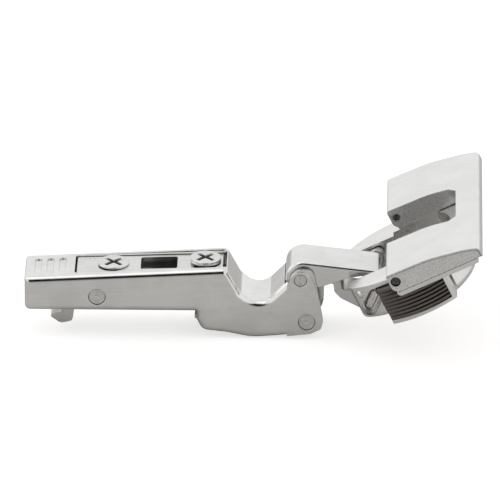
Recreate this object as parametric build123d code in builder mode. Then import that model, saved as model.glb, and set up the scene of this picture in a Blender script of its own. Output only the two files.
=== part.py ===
from build123d import *

import math
import os

# Clip-on concealed cup hinge, millimetres, shown 64 degrees from closed.
# Origin: centre of the clip base's seat on its mounting plate. +X runs along the
# arm from its rear to the cup, +Y across the arm, +Z away from the plate.

# ---------------------------------------------------------------- driving sizes
# Arm: folded sheet, U-section, open below
ARM_W = 14.6
ARM_T = 1.2
ARM_BEND = 1.6
ARM_REAR = -22.0
ARM_REAR_H = 8.45
ARM_TOP_SLOPE = 3.1
ARM_SHOULDER = 26.1
EAR_R = 3.0
EAR_RAISE = 0.3
BELLY_X = 18.9
SADDLE_X = 32.8
SADDLE_Z = 2.6
WINDOW_REAR = -10.1
WINDOW_W = 10.4

# Pivots of the four-bar linkage: on the arm as (X, Z), on the cup as (t, n) of its plane
ARM_UPPER = (43.7, 8.6)
ARM_LOWER = (45.2, -2.4)
CUP_UPPER_SEAT = (-5.43744, -1.90965)
CUP_LOWER_SEAT = (-9.02794, -5.16516)
PIN_R = 1.5
RIVET_HEAD_R = 2.0
RIVET_SINK = 0.2
BRACKET_PIN_R = 1.1
PIN_FIT = 0.06

# Links
OUTER_LINK_W = 11.6
OUTER_LINK_T = 1.2
OUTER_LINK_R = 3.6
OUTER_LINK_BEND = 4.2
OUTER_LINK_FOLD = 0.9
OUTER_EYE_R = 2.1
LINK_SIDE_GAP = 0.8
INNER_LINK_W = OUTER_LINK_W - 2 * OUTER_LINK_T - 2 * LINK_SIDE_GAP
INNER_LINK_EYE_R = 2.7
EYE_SIDE_GAP = 0.3
INNER_LINK_EYE_W = ARM_W - 2 * ARM_T - 2 * EYE_SIDE_GAP
OPEN_PIVOT_GAP = 0.4

# Cup and boss, in the cup's own plane: t across the mouth, n out of the mouth
CUP_CENTRE = (65.85, 12.4)
CUP_TILT = 26.0
CUP_R = 17.3
CUP_WALL = 1.1
CUP_DEPTH = 10.5
CUP_FLOOR_R = 1.8
LOBE_R = 16.0
LOBE_END = -11.3
LOBE_CORNER = 2.6
LOBE_IN = 9.5
LOBE_DEPTH = 7.9
LOBE_FLOOR_R = 1.5
LEAF_IN = 8.0
LEAF_LOW = 0.45
LEAF_TOP = 1.1
LEAF_RIGHT = 0.4
BOWL_LEFT = -2.9
MOUTH_R = 15.8
LINK_SLOT_W = 12.6

FLANGE_LOW = 0.7
FLANGE_T = 1.05
FLANGE_L = 56.6
FLANGE_LEFT = 1.9
FLANGE_RIGHT = 22.7
FLANGE_NOSE_R = 1.0

# Flap over the flange
FLAP_L = 57.2
FLAP_LEFT = 1.2
FLAP_RIGHT = 24.25
FLAP_TOP = 6.95
FLAP_SKIN = 0.75
FLAP_END_T = 1.6
FLAP_END_SINK = 0.3
FLAP_BORDER = 0.35
FLAP_LIFT = 0.1
NOTCH_W = 18.9
NOTCH_WALL = 1.1
NOTCH_END = 18.9
NOTCH_CHAMFER = 1.8
FLAP_PIN = (2.8, 4.55)
FLAP_PIN_R = 0.8
FLAP_PIN_HEAD_R = 1.15
FLAP_PIN_HEAD_T = 0.35
LUG_R = 1.3
LUG_T = 1.2
LUG_OFFSETS = (12.6, 25.0)

# Clamping jaws
JAW_R = 17.5
JAW_CENTRE = (4.0, 1.2)
JAW_LEFT = -4.6
JAW_RIGHT = 12.0
JAW_BACK = 13.2
JAW_WALL_GAP = 1.8
JAW_TOP = -0.35
JAW_DEPTH = 9.8
JAW_GAP = 0.3
RIB_PITCH = 0.95
RIB_COUNT = 9
RIB_GROOVE = 0.45
RIB_DEPTH = 0.6

# Base channel between arm and clip base
CHANNEL_W = 10.0
CHANNEL_T = 1.0
CHANNEL_REAR = -9.7
CHANNEL_FRONT = 25.3
CHANNEL_REAR_Z = 8.95
CHANNEL_SLOPE = 2.1
CHANNEL_BOTTOM = 1.7
SLOT_X = (5.6, 14.3)
SLOT_W = 6.8

# Adjusting screws
SCREW_HEAD_R = 3.75
SCREW_HEAD_T = 0.9
CROSS_W = 1.0
CROSS_L = 5.4
CROSS_DEPTH = 0.7
DEPTH_SCREW_X = -0.9
DEPTH_HUB_R = 2.9
DEPTH_DISC_R = 3.6
SIDE_SCREW_X = 21.0
SIDE_THREAD_R = 2.4
SIDE_GROOVE_R = 1.2
BOSS_R = 3.6
BOSS_CLEAR = 0.45
SIDE_LIFT = 0.25
TONGUE_Z = 5.0
TONGUE_T = 0.9

# Rear rivet, which the arm tilts on
REAR_RIVET = (-4.7, 3.8)

# Clip base and its catch
CLIP_W = 7.6
CLIP_T = 1.0
CLIP_REAR = -17.0
CLIP_FRONT = 16.0
CLIP_H = 6.0
DEPTH_TRAVEL = (-2.0, 3.0)
HOOK_DROP = 4.6
LEVER_W = 4.8
LEVER_PIN = (-11.5, 3.4)
LEVER_PIN_R = 1.0

# Springs
SPRING_WIRE = 0.45
SPRING_TURNS = 2

# ---------------------------------------------------------------- derived places
tilt = math.radians(CUP_TILT)
cup_t = Vector(math.cos(tilt), 0, math.sin(tilt))
cup_n = Vector(-math.sin(tilt), 0, math.cos(tilt))
cup_centre = Vector(CUP_CENTRE[0], 0, CUP_CENTRE[1])
CUP_SIDE = Plane(origin=cup_centre, x_dir=cup_t, z_dir=(0, -1, 0))
CUP_MOUTH = Plane(origin=cup_centre, x_dir=cup_t, z_dir=cup_n)


def from_cup(point):
    """Place (t, n) of the cup's plane, as (X, Z) of the side view."""
    place = cup_centre + cup_t * point[0] + cup_n * point[1]
    return (place.X, place.Z)


CUP_UPPER = from_cup(CUP_UPPER_SEAT)
CUP_LOWER = from_cup(CUP_LOWER_SEAT)


def arm_top(x):
    """Height of the arm's top face at x, rear of the shoulder."""
    return ARM_REAR_H + (x - ARM_REAR) * math.tan(math.radians(ARM_TOP_SLOPE))


def channel_top(x):
    """Height of the base channel's top face at x."""
    return CHANNEL_REAR_Z + (x - CHANNEL_REAR) * math.tan(math.radians(CHANNEL_SLOPE))


def fitted(points, radii):
    """Corner radii, made smaller where two neighbours would not fit on their side."""
    count = len(points)
    lengths = [math.dist(points[i], points[(i + 1) % count]) for i in range(count)]
    spread = []
    for i in range(count):
        back = Vector(*points[i - 1]) - Vector(*points[i])
        ahead = Vector(*points[(i + 1) % count]) - Vector(*points[i])
        spread.append(math.tan(math.radians(back.get_angle(ahead)) / 2))
    reach = [radii[i] / max(spread[i], 1e-6) for i in range(count)]
    for i in range(count):
        both = reach[i] + reach[(i + 1) % count]
        if both > 0.97 * lengths[i]:
            reach[i] *= 0.97 * lengths[i] / both
            reach[(i + 1) % count] *= 0.97 * lengths[i] / both
    return [reach[i] * spread[i] for i in range(count)]


def slab(points, radii, half_width, plane=Plane.XZ, mode=Mode.ADD):
    """Side outline with rounded corners, extruded both ways from the middle plane."""
    with BuildSketch(plane) as outline:
        with BuildLine():
            FilletPolyline(*points, radius=fitted(points, radii), close=True)
        make_face()
    extrude(outline.sketch, amount=half_width, both=True, mode=mode)


def rod(place, radius, half_length, plane=Plane.XZ, mode=Mode.ADD):
    """Cylinder across the hinge, centred on the middle plane."""
    with BuildSketch(plane) as disc:
        with Locations(place):
            Circle(radius)
    extrude(disc.sketch, amount=half_length, both=True, mode=mode)


def disc(place, radius, near, far, plane=Plane.XZ, mode=Mode.ADD):
    """Cylinder across the hinge from Y = near to Y = far."""
    with BuildSketch(plane.offset(-far)) as ring:
        with Locations(place):
            Circle(radius)
    extrude(ring.sketch, amount=far - near, mode=mode)


os.makedirs("parts", exist_ok=True)

# ---------------------------------------------------------------- hinge_arm
shoulder_z = arm_top(ARM_SHOULDER)
ear_top = ARM_UPPER[1] + EAR_R - 0.3
saddle_profile = [
    (ARM_SHOULDER, shoulder_z),
    (29.4, 4.9),
    (SADDLE_X, SADDLE_Z - 0.5),
    (36.0, SADDLE_Z + 0.6),
    (40.6, 7.9),
]
saddle_radii = [1.5, 3.0, 5.0, 4.0]
belly = [
    (49.1, -2.2),
    (48.6, -4.2),
    (46.0, -5.4),
    (38.0, -6.3),
    (32.0, -6.75),
    (26.0, -5.5),
    (20.3, -4.9),
    (BELLY_X, -2.0),
    (BELLY_X, 0),
]
belly_radii = [1.2, 1.5, 8.0, 12.0, 14.0, 10.0, 2.4, 1.2, 0.4]
belly_slope = (belly[2][1] - belly[3][1]) / (belly[2][0] - belly[3][0])
half_arm = ARM_W / 2
half_inside = half_arm - ARM_T

with BuildPart() as hinge_arm:
    # the blank: everything under the folded web
    slab(
        [(ARM_REAR, 0), (ARM_REAR, ARM_REAR_H)] + saddle_profile
        + [(41.6, belly[3][1] + (41.6 - belly[3][0]) * belly_slope)] + belly[3:],
        [1.3, 0.6] + saddle_radii + [0, 0] + belly_radii[3:],
        half_arm,
    )
    web_edges = [
        edge
        for edge in hinge_arm.edges()
        if abs(abs(edge.center().Y) - half_arm) < 0.01
        and edge.bounding_box().min.Z > 1.9
        and edge.center().X > ARM_REAR + 0.7
        and edge.center().X < 40.7
    ]
    fillet(web_edges, ARM_BEND)
    # ears round the two link pins, beyond the web's end
    slab(
        [(40.5, belly[3][1] + (40.5 - belly[3][0]) * belly_slope), (40.5, 7.2),
         (42.6, ear_top), (46.6, ear_top), (48.0, 4.4)] + belly[:3],
        [0, 2.0, 2.9, 2.4, 6.0, 1.2, 1.5, 2.0],
        half_arm,
    )
    # inside of the fold, open below and in front
    inside = [(x, z - ARM_T) for x, z in saddle_profile]
    slab(
        [(ARM_REAR - 1, -8.0), (ARM_REAR - 1, ARM_REAR_H - ARM_T)]
        + [(ARM_SHOULDER - 0.7, shoulder_z - ARM_T), (28.5, 4.0)] + inside[2:4]
        + [(39.9, 6.5), (39.9, 13.0), (52.0, 13.0), (52.0, -8.0)],
        [0, 0, 0.4, 2.4, 5.0, 4.0, 0, 0, 0, 0],
        half_inside,
        mode=Mode.SUBTRACT,
    )
    # window over the base channel
    with BuildSketch(Plane.XY.offset(ARM_REAR_H - ARM_T - 0.5)) as window:
        with Locations(((WINDOW_REAR + ARM_SHOULDER) / 2, 0)):
            RectangleRounded(ARM_SHOULDER - WINDOW_REAR, WINDOW_W, 0.9)
    extrude(window.sketch, amount=8, mode=Mode.SUBTRACT)
    # three grip grooves across the rear
    for groove in range(3):
        groove_x = ARM_REAR + 3.1 + groove * 2.9
        with BuildSketch(Plane.XY.offset(arm_top(groove_x) - 0.35)) as grip:
            with Locations((groove_x, 0)):
                SlotCenterToCenter(6.6, 1.6, rotation=90)
        extrude(grip.sketch, amount=2, mode=Mode.SUBTRACT)
    # raised seats round the upper pin, one on each ear
    raised = [(40.9, 6.6), (41.2, 9.6), (43.7, 11.3), (46.3, 9.4), (47.4, 6.7), (44.0, 5.7)]
    slab(raised, [1.2, 2.4, 2.6, 2.4, 0.5, 3.0], half_arm + EAR_RAISE)
    slab(raised, [1.2, 2.4, 2.6, 2.4, 0.5, 3.0], half_inside, mode=Mode.SUBTRACT)
    # tongue below the web, a fork that holds the side screw's groove
    with BuildSketch(Plane.XY.offset(TONGUE_Z)) as tongue:
        with Locations(((SIDE_SCREW_X + 28.9) / 2 - 1.5, 0)):
            Rectangle(28.9 - SIDE_SCREW_X + 3.0, 7.0)
        with Locations((SIDE_SCREW_X, 0)):
            Circle(SIDE_GROOVE_R + 0.15, mode=Mode.SUBTRACT)
        with Locations((SIDE_SCREW_X - 2.5, 0)):
            Rectangle(5.0, 2 * SIDE_GROOVE_R + 0.3, mode=Mode.SUBTRACT)
    extrude(tongue.sketch, amount=TONGUE_T)
    # holes for the pins and the rear rivet, with a sunk seat for each head
    for place in (ARM_UPPER, ARM_LOWER, REAR_RIVET):
        rod(place, PIN_R + PIN_FIT, half_arm + 1, mode=Mode.SUBTRACT)
    for place in (ARM_LOWER, REAR_RIVET):
        for side in (-1, 1):
            low = half_arm - RIVET_SINK - 0.4
            span = sorted((side * low, side * (half_arm + 1)))
            disc(place, RIVET_HEAD_R + PIN_FIT, span[0], span[1], mode=Mode.SUBTRACT)
hinge_arm.part.label = "hinge_arm"
export_step(hinge_arm.part, "parts/hinge_arm.step")


def headed_pin(place, reach, sink):
    """Riveted pin across the arm: shank, and a larger flat head in each wall's seat."""
    rod(place, PIN_R, reach - sink)
    for side in (-1, 1):
        span = sorted((side * (reach - RIVET_SINK - 0.35), side * (reach - sink)))
        disc(place, RIVET_HEAD_R, span[0], span[1])


with BuildPart() as lower_link_pin:
    headed_pin(ARM_LOWER, half_arm, RIVET_SINK)
lower_link_pin.part.label = "lower_link_pin"
export_step(lower_link_pin.part, "parts/lower_link_pin.step")

with BuildPart() as upper_link_pin:
    rod(ARM_UPPER, PIN_R, half_arm + EAR_RAISE - 0.05)
upper_link_pin.part.label = "upper_link_pin"
export_step(upper_link_pin.part, "parts/upper_link_pin.step")

with BuildPart() as rear_rivet:
    headed_pin(REAR_RIVET, half_arm, RIVET_SINK)
    # collars that centre the base channel between the arm's walls
    for side in (-1, 1):
        span = sorted((side * (CHANNEL_W / 2 + 0.05), side * (half_inside - 0.05)))
        disc(REAR_RIVET, RIVET_HEAD_R + 0.4, span[0], span[1])
rear_rivet.part.label = "rear_rivet"
export_step(rear_rivet.part, "parts/rear_rivet.step")

# ---------------------------------------------------------------- base_channel
channel_pts = [
    (CHANNEL_REAR, CHANNEL_BOTTOM),
    (CHANNEL_REAR, channel_top(CHANNEL_REAR)),
    (CHANNEL_FRONT, channel_top(CHANNEL_FRONT)),
    (CHANNEL_FRONT, 7.4),
    (16.6, 6.4),
    (15.6, CHANNEL_BOTTOM),
]
with BuildPart() as base_channel:
    slab(channel_pts, [1.2, 0.4, 0.4, 0.8, 1.2, 1.2], CHANNEL_W / 2)
    fold = [
        edge
        for edge in base_channel.edges()
        if abs(abs(edge.center().Y) - CHANNEL_W / 2) < 0.01
        and edge.length > 20
        and edge.center().Z > 8
    ]
    fillet(fold, 0.8)
    slab(
        [(CHANNEL_REAR - 1, 0), (CHANNEL_REAR - 1, channel_top(CHANNEL_REAR - 1) - CHANNEL_T),
         (CHANNEL_FRONT + 1, channel_top(CHANNEL_FRONT + 1) - CHANNEL_T), (CHANNEL_FRONT + 1, 0)],
        [0, 0, 0, 0],
        CHANNEL_W / 2 - CHANNEL_T,
        mode=Mode.SUBTRACT,
    )
    # open slot between the screws
    with BuildSketch(Plane.XY.offset(7.0)) as slot:
        with Locations(((SLOT_X[0] + SLOT_X[1]) / 2, 0)):
            RectangleRounded(SLOT_X[1] - SLOT_X[0], SLOT_W, 0.5)
        with Locations((DEPTH_SCREW_X, 0)):
            Circle(DEPTH_HUB_R + PIN_FIT)
    extrude(slot.sketch, amount=5, mode=Mode.SUBTRACT)
    # threaded boss drawn down round the side screw
    with BuildSketch(Plane.XY.offset(channel_top(SIDE_SCREW_X) - CHANNEL_T - 0.6)) as boss:
        with Locations((SIDE_SCREW_X, 0)):
            Circle(BOSS_R)
    extrude(boss.sketch, amount=CHANNEL_T + 0.5)
    with BuildSketch(Plane.XY.offset(6.0)) as thread_hole:
        with Locations((SIDE_SCREW_X, 0)):
            Circle(SIDE_THREAD_R + BOSS_CLEAR)
    extrude(thread_hole.sketch, amount=6, mode=Mode.SUBTRACT)
    rod(REAR_RIVET, PIN_R + PIN_FIT, CHANNEL_W, mode=Mode.SUBTRACT)
base_channel.part.label = "base_channel"
export_step(base_channel.part, "parts/base_channel.step")


def cross_recess(x, top):
    """Cross slot in a screw head, its arms at 45 degrees to the hinge's axes."""
    with BuildSketch(Plane.XY.offset(top - CROSS_DEPTH)) as cross:
        with Locations((x, 0)):
            Rectangle(CROSS_L, CROSS_W, rotation=45)
            Rectangle(CROSS_L, CROSS_W, rotation=135)
    extrude(cross.sketch, amount=CROSS_DEPTH + 0.1, mode=Mode.SUBTRACT)


def turned(x, steps):
    """Turned piece about a vertical axis at x, from (radius, low, high) steps."""
    for radius, low, high in steps:
        with BuildSketch(Plane.XY.offset(low)) as step:
            with Locations((x, 0)):
                Circle(radius)
        extrude(step.sketch, amount=high - low)


depth_seat = channel_top(DEPTH_SCREW_X + SCREW_HEAD_R) + 0.05
depth_under = channel_top(DEPTH_SCREW_X - DEPTH_DISC_R) - CHANNEL_T - 0.1
with BuildPart() as depth_screw:
    turned(DEPTH_SCREW_X, [
        (SCREW_HEAD_R, depth_seat, depth_seat + 0.5),
        (DEPTH_HUB_R, depth_under - 0.2, depth_seat),
        (DEPTH_DISC_R, CLIP_H + 0.35, depth_under),
    ])
    cross_recess(DEPTH_SCREW_X, depth_seat + 0.5)
depth_screw.part.label = "depth_screw"
export_step(depth_screw.part, "parts/depth_screw.step")

side_head = channel_top(SIDE_SCREW_X + SCREW_HEAD_R) + SIDE_LIFT
with BuildPart() as side_screw:
    turned(SIDE_SCREW_X, [
        (SCREW_HEAD_R - 0.05, side_head, side_head + SCREW_HEAD_T),
        (SIDE_THREAD_R, TONGUE_Z + TONGUE_T + 0.1, side_head),
        (SIDE_GROOVE_R, TONGUE_Z - 0.1, TONGUE_Z + TONGUE_T + 0.1),
        (SIDE_THREAD_R - 0.3, TONGUE_Z - 0.9, TONGUE_Z - 0.1),
    ])
    cross_recess(SIDE_SCREW_X, side_head + SCREW_HEAD_T)
side_screw.part.label = "side_screw"
export_step(side_screw.part, "parts/side_screw.step")

# ---------------------------------------------------------------- clip base and catch
with BuildPart() as clip_base:
    slab(
        [(CLIP_REAR, 0), (CLIP_REAR, 5.4), (-7.0, CLIP_H), (CLIP_FRONT - 3, CLIP_H),
         (CLIP_FRONT, 2.4), (CLIP_FRONT, 0)],
        [0.5, 1.5, 1.0, 1.0, 1.0, 0.5],
        CLIP_W / 2,
    )
    slab(
        [(CLIP_REAR - 1, CLIP_T), (CLIP_REAR - 1, 9), (CLIP_FRONT + 1, 9), (CLIP_FRONT + 1, CLIP_T)],
        [0, 0, 0, 0],
        CLIP_W / 2 - CLIP_T,
        mode=Mode.SUBTRACT,
    )
    # front hook: a tab folded down and rearwards, which goes under the plate's edge
    slab(
        [(CLIP_FRONT - 0.5, 0), (CLIP_FRONT - 0.5, CLIP_T), (21.9, CLIP_T), (21.9, -3.6),
         (18.4, -3.6), (18.4, -2.6), (20.9, -2.6), (20.9, 0)],
        [0, 0, 1.4, 1.4, 0.4, 0.4, 0.4, 0.4],
        CLIP_W / 2 - CLIP_T - 0.1,
    )
    # opening in the floor for the catch's hook
    with BuildSketch(Plane.XY.offset(-1)) as gap:
        with Locations(((CLIP_REAR - 9.3) / 2 - 0.6, 0)):
            Rectangle(-9.3 - CLIP_REAR + 1.2, CLIP_W - 2 * CLIP_T)
    extrude(gap.sketch, amount=CLIP_T + 1.2, mode=Mode.SUBTRACT)
    rod(LEVER_PIN, LEVER_PIN_R + PIN_FIT, CLIP_W, mode=Mode.SUBTRACT)
    # long holes that let the base channel's rivet travel
    with BuildSketch(Plane.XZ) as travel:
        with Locations((REAR_RIVET[0] + (DEPTH_TRAVEL[0] + DEPTH_TRAVEL[1]) / 2, REAR_RIVET[1])):
            SlotCenterToCenter(DEPTH_TRAVEL[1] - DEPTH_TRAVEL[0] + 0.4, 2 * PIN_R + 0.4)
    extrude(travel.sketch, amount=CLIP_W, both=True, mode=Mode.SUBTRACT)
clip_base.part.label = "clip_base"
export_step(clip_base.part, "parts/clip_base.step")

with BuildPart() as clip_pin:
    rod(LEVER_PIN, LEVER_PIN_R, CLIP_W / 2)
clip_pin.part.label = "clip_pin"
export_step(clip_pin.part, "parts/clip_pin.step")

with BuildPart() as clip_lever:
    slab(
        [(-15.4, 3.4), (-15.4, 5.7), (-11.5, 5.6), (-9.7, 3.4), (-10.6, -3.4), (-10.9, -HOOK_DROP),
         (-13.6, -HOOK_DROP - 0.6), (-16.4, -3.2), (-13.4, -2.2), (-13.6, 2.0)],
        [0.8, 0.8, 1.8, 1.8, 0.4, 1.0, 1.6, 0.4, 0.6, 1.0],
        LEVER_W / 2,
    )
    rod(LEVER_PIN, LEVER_PIN_R + PIN_FIT, LEVER_W, mode=Mode.SUBTRACT)
clip_lever.part.label = "clip_lever"
export_step(clip_lever.part, "parts/clip_lever.step")

with BuildPart() as lever_spring:
    # bent leaf between the clip base's floor and the lever's nose
    slab(
        [(-9.0, CLIP_T + 0.05), (-1.6, CLIP_T + 0.05), (-1.6, CLIP_T + 0.4), (-8.0, CLIP_T + 0.4),
         (-9.2, 3.0), (-9.55, 2.9)],
        [0, 0, 0, 0.8, 0, 0],
        LEVER_W / 2 - 0.4,
    )
lever_spring.part.label = "lever_spring"
export_step(lever_spring.part, "parts/lever_spring.step")

# ---------------------------------------------------------------- outer_link
ux, uz = ARM_UPPER
ex, ez = CUP_UPPER
with BuildPart() as outer_link:
    slab(
        [(ux - OUTER_LINK_R, uz - 0.9), (ux - OUTER_LINK_R, uz + 4.44),
         (ex + OUTER_EYE_R, ez + OUTER_EYE_R - 0.1), (ex + OUTER_EYE_R, ez - OUTER_EYE_R),
         (ex - OUTER_EYE_R, ez - OUTER_EYE_R), (ex - OUTER_EYE_R - 0.4, ez + 1.1),
         (ux + 10.7, uz - 0.2), (ux + 4.8, uz - 2.4), (ux - 2.75, uz - 2.9), (ux - 2.75, uz - 0.9)],
        [0, OUTER_LINK_BEND, 1.9, 1.9, 1.8, 0, 6.0, 1.2, 2.5, 0.2],
        OUTER_LINK_W / 2,
    )
    fold = [
        edge
        for edge in outer_link.edges()
        if abs(abs(edge.center().Y) - OUTER_LINK_W / 2) < 0.01 and edge.length > 12
        and edge.center().Z > 9
    ]
    fillet(fold, OUTER_LINK_FOLD)
    # inside of the U, open below
    slab(
        [(ux - OUTER_LINK_R + OUTER_LINK_T, uz - 6.0), (ux - OUTER_LINK_R + OUTER_LINK_T, uz + 3.0),
         (ex - 2.3, ez + 1.35), (ex - 2.3, ez - 5.0), (ux + 4.9, uz - 6.0)],
        [0, OUTER_LINK_BEND - OUTER_LINK_T, 0.6, 0, 0],
        OUTER_LINK_W / 2 - OUTER_LINK_T,
        mode=Mode.SUBTRACT,
    )
    rod(ARM_UPPER, PIN_R + PIN_FIT, OUTER_LINK_W, mode=Mode.SUBTRACT)
    rod(CUP_UPPER, BRACKET_PIN_R + PIN_FIT, OUTER_LINK_W, mode=Mode.SUBTRACT)
outer_link.part.label = "outer_link"
export_step(outer_link.part, "parts/outer_link.step")

# ---------------------------------------------------------------- inner_link
lx, lz = ARM_LOWER
fx, fz = CUP_LOWER
link_length = math.dist(ARM_LOWER, CUP_LOWER)
along = ((fx - lx) / link_length, (fz - lz) / link_length)


def by_seat(a, p):
    """Place a mm along the inner link and p mm square to it from its cup pivot."""
    return (fx + a * along[0] - p * along[1], fz + a * along[1] + p * along[0])


seat_back = -BRACKET_PIN_R - OPEN_PIVOT_GAP
with BuildPart() as inner_link:
    rod(ARM_LOWER, INNER_LINK_EYE_R, INNER_LINK_EYE_W / 2)
    # goose neck, with an open seat behind and under the cup's pin
    slab(
        [(lx - 2.2, lz + 1.4), (lx, lz + 5.9), (lx + 1.8, lz + 8.9), (lx + 4.0, lz + 10.3),
         (lx + 8.0, lz + 10.3), (lx + 8.3, lz + 7.1), by_seat(seat_back, 1.1),
         by_seat(seat_back, seat_back - 0.4), by_seat(0.9, seat_back - 0.5),
         by_seat(0.9, seat_back - 1.6), by_seat(seat_back - 1.6, seat_back - 1.5),
         (lx + 8.0, lz + 4.9), (lx + 6.5, lz + 6.6), (lx + 6.3, lz + 8.7), (lx + 4.6, lz + 8.6),
         (lx + 3.8, lz + 7.6), (lx + 4.1, lz + 5.6), (lx + 3.1, lz + 3.8), (lx + 2.2, lz - 1.4)],
        [0, 4.0, 3.0, 2.0, 1.8, 0.8, 0.6, 1.1, 0.3, 0.5, 1.2, 2.5, 1.0, 0.6, 0.8, 0.6, 1.0, 2.0, 0],
        INNER_LINK_W / 2,
    )
    rod(ARM_LOWER, PIN_R + PIN_FIT, INNER_LINK_EYE_W, mode=Mode.SUBTRACT)
inner_link.part.label = "inner_link"
export_step(inner_link.part, "parts/inner_link.step")

# ---------------------------------------------------------------- cup_body
pt, pn = CUP_UPPER_SEAT
qt, qn = CUP_LOWER_SEAT


def lobe_plan(radius, left, reach=CUP_R):
    """Plan of the cup: full circle on the right, cut square left and at |Y| = reach."""
    Circle(radius)
    with Locations((left + radius, 0)):
        Rectangle(2 * radius, 2 * reach, mode=Mode.INTERSECT)


def cup_blank(radius, left, depth, top, floor_radius):
    """Rounded-bottom drum between n = -depth and n = top, cut square on its left."""
    with BuildPart() as blank:
        with BuildSketch(CUP_MOUTH.offset(-depth)) as plan:
            lobe_plan(radius, left)
        extrude(plan.sketch, amount=depth + top)
        corners = [
            edge
            for edge in blank.edges()
            if edge.geom_type == GeomType.LINE and abs(edge.length - depth - top) < 0.01
        ]
        fillet(corners, LOBE_CORNER)
        floor = min(blank.faces(), key=lambda face: (face.center() - cup_centre).dot(cup_n))
        fillet(floor.edges(), floor_radius)
    return blank.part


bowl_reach = JAW_BACK - JAW_WALL_GAP - CUP_WALL
flange_top = FLANGE_LOW + FLANGE_T
with BuildPart() as cup_body:
    # outside: deep round drum, and a shallower pair of lobes on its left
    add(cup_blank(CUP_R, JAW_LEFT + 0.6, CUP_DEPTH, 0, CUP_FLOOR_R))
    add(cup_blank(LOBE_R, LOBE_END, LOBE_DEPTH, LEAF_TOP, LOBE_FLOOR_R))
    with BuildSketch(CUP_MOUTH) as collar:
        lobe_plan(CUP_R, FLANGE_LEFT + FLANGE_NOSE_R)
    extrude(collar.sketch, amount=FLANGE_LOW + 0.1)
    # flange over the mouth, its lower left edge rounded
    slab(
        [(FLANGE_LEFT, FLANGE_LOW), (FLANGE_LEFT, flange_top), (FLANGE_RIGHT, flange_top),
         (FLANGE_RIGHT, FLANGE_LOW)],
        [FLANGE_NOSE_R, 0, 0, 0.2],
        FLANGE_L / 2,
        plane=CUP_SIDE,
    )
    # the bowl inside the drum, then the shallower one between the lobes
    with BuildSketch(CUP_MOUTH.offset(-CUP_DEPTH + CUP_WALL)) as bowl:
        lobe_plan(MOUTH_R, BOWL_LEFT, bowl_reach)
    extrude(bowl.sketch, amount=CUP_DEPTH - CUP_WALL + LEAF_LOW, mode=Mode.SUBTRACT)
    with BuildSketch(CUP_MOUTH.offset(-LOBE_DEPTH + CUP_WALL)) as between:
        with Locations((LOBE_END - 3, 0)):
            Rectangle(2 * (BOWL_LEFT - LOBE_END + 4), 2 * LOBE_IN)
    extrude(between.sketch, amount=LOBE_DEPTH - CUP_WALL + LEAF_LOW, mode=Mode.SUBTRACT)
    # mouth between the two leaves that cover the lobes, and through the flange
    with BuildSketch(CUP_MOUTH.offset(LEAF_LOW - 0.01)) as mouth:
        lobe_plan(MOUTH_R, LEAF_RIGHT, bowl_reach)
        with Locations((LOBE_END - 3, 0)):
            Rectangle(2 * (LEAF_RIGHT - LOBE_END + 4), 2 * LEAF_IN)
    extrude(mouth.sketch, amount=4, mode=Mode.SUBTRACT)
    # channel through the left of the floor, which the inner link swings into
    with BuildSketch(CUP_MOUTH.offset(-CUP_DEPTH - 1)) as link_gap:
        with Locations((-4.5 - 6, 0)):
            Rectangle(12, LINK_SLOT_W)
    extrude(link_gap.sketch, amount=CUP_DEPTH + 3, mode=Mode.SUBTRACT)
    # windows that the jaws slide through
    for side in (-1, 1):
        with BuildSketch(CUP_MOUTH.offset(-CUP_DEPTH - 1)) as jaw_window:
            with Locations(((JAW_LEFT + JAW_RIGHT) / 2, side * (JAW_BACK - JAW_WALL_GAP + 5))):
                Rectangle(JAW_RIGHT - JAW_LEFT + 2 * JAW_GAP, 10)
        extrude(jaw_window.sketch, amount=CUP_DEPTH + 1, mode=Mode.SUBTRACT)
    # pocket in the near lobe for the U-shaped pin's bridge, and holes for its legs
    with BuildSketch(CUP_SIDE.offset(LOBE_IN + 0.4)) as pocket:
        with Locations(((pt + qt) / 2, (pn + qn) / 2)):
            SlotCenterToCenter(math.dist((pt, pn), (qt, qn)), 2 * BRACKET_PIN_R + 1.4,
                               rotation=math.degrees(math.atan2(pn - qn, pt - qt)))
    extrude(pocket.sketch, amount=8, mode=Mode.SUBTRACT)
    for place in ((pt, pn), (qt, qn)):
        rod(place, BRACKET_PIN_R + PIN_FIT, 20, plane=CUP_SIDE, mode=Mode.SUBTRACT)
    # lugs that carry the flap's pins
    for offset_y in LUG_OFFSETS:
        for side in (-1, 1):
            low = side * offset_y - LUG_T / 2
            disc(FLAP_PIN, LUG_R, low, low + LUG_T, plane=CUP_SIDE)
            with BuildSketch(CUP_MOUTH.offset(flange_top - 0.4)) as stem:
                with Locations((FLAP_PIN[0] + 0.2, side * offset_y)):
                    Rectangle(2 * LUG_R - 0.4, LUG_T)
            extrude(stem.sketch, amount=FLAP_PIN[1] - flange_top + 0.4)
    rod(FLAP_PIN, FLAP_PIN_R + PIN_FIT, 40, plane=CUP_SIDE, mode=Mode.SUBTRACT)
cup_body.part.label = "cup_body"
export_step(cup_body.part, "parts/cup_body.step")

bridge_y = -(LOBE_IN + 0.5 + BRACKET_PIN_R)
leg_end = LOBE_IN + 1.9
with BuildPart() as link_bracket_pin:
    with BuildLine() as wire:
        FilletPolyline(
            (ex, leg_end, ez), (ex, bridge_y, ez), (fx, bridge_y, fz), (fx, leg_end, fz),
            radius=1.3,
        )
    with BuildSketch(Plane(origin=(ex, leg_end, ez), z_dir=(0, -1, 0))) as section:
        Circle(BRACKET_PIN_R)
    sweep(sections=section.sketch, path=wire.line)
link_bracket_pin.part.label = "link_bracket_pin"
export_step(link_bracket_pin.part, "parts/link_bracket_pin.step")

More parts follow.
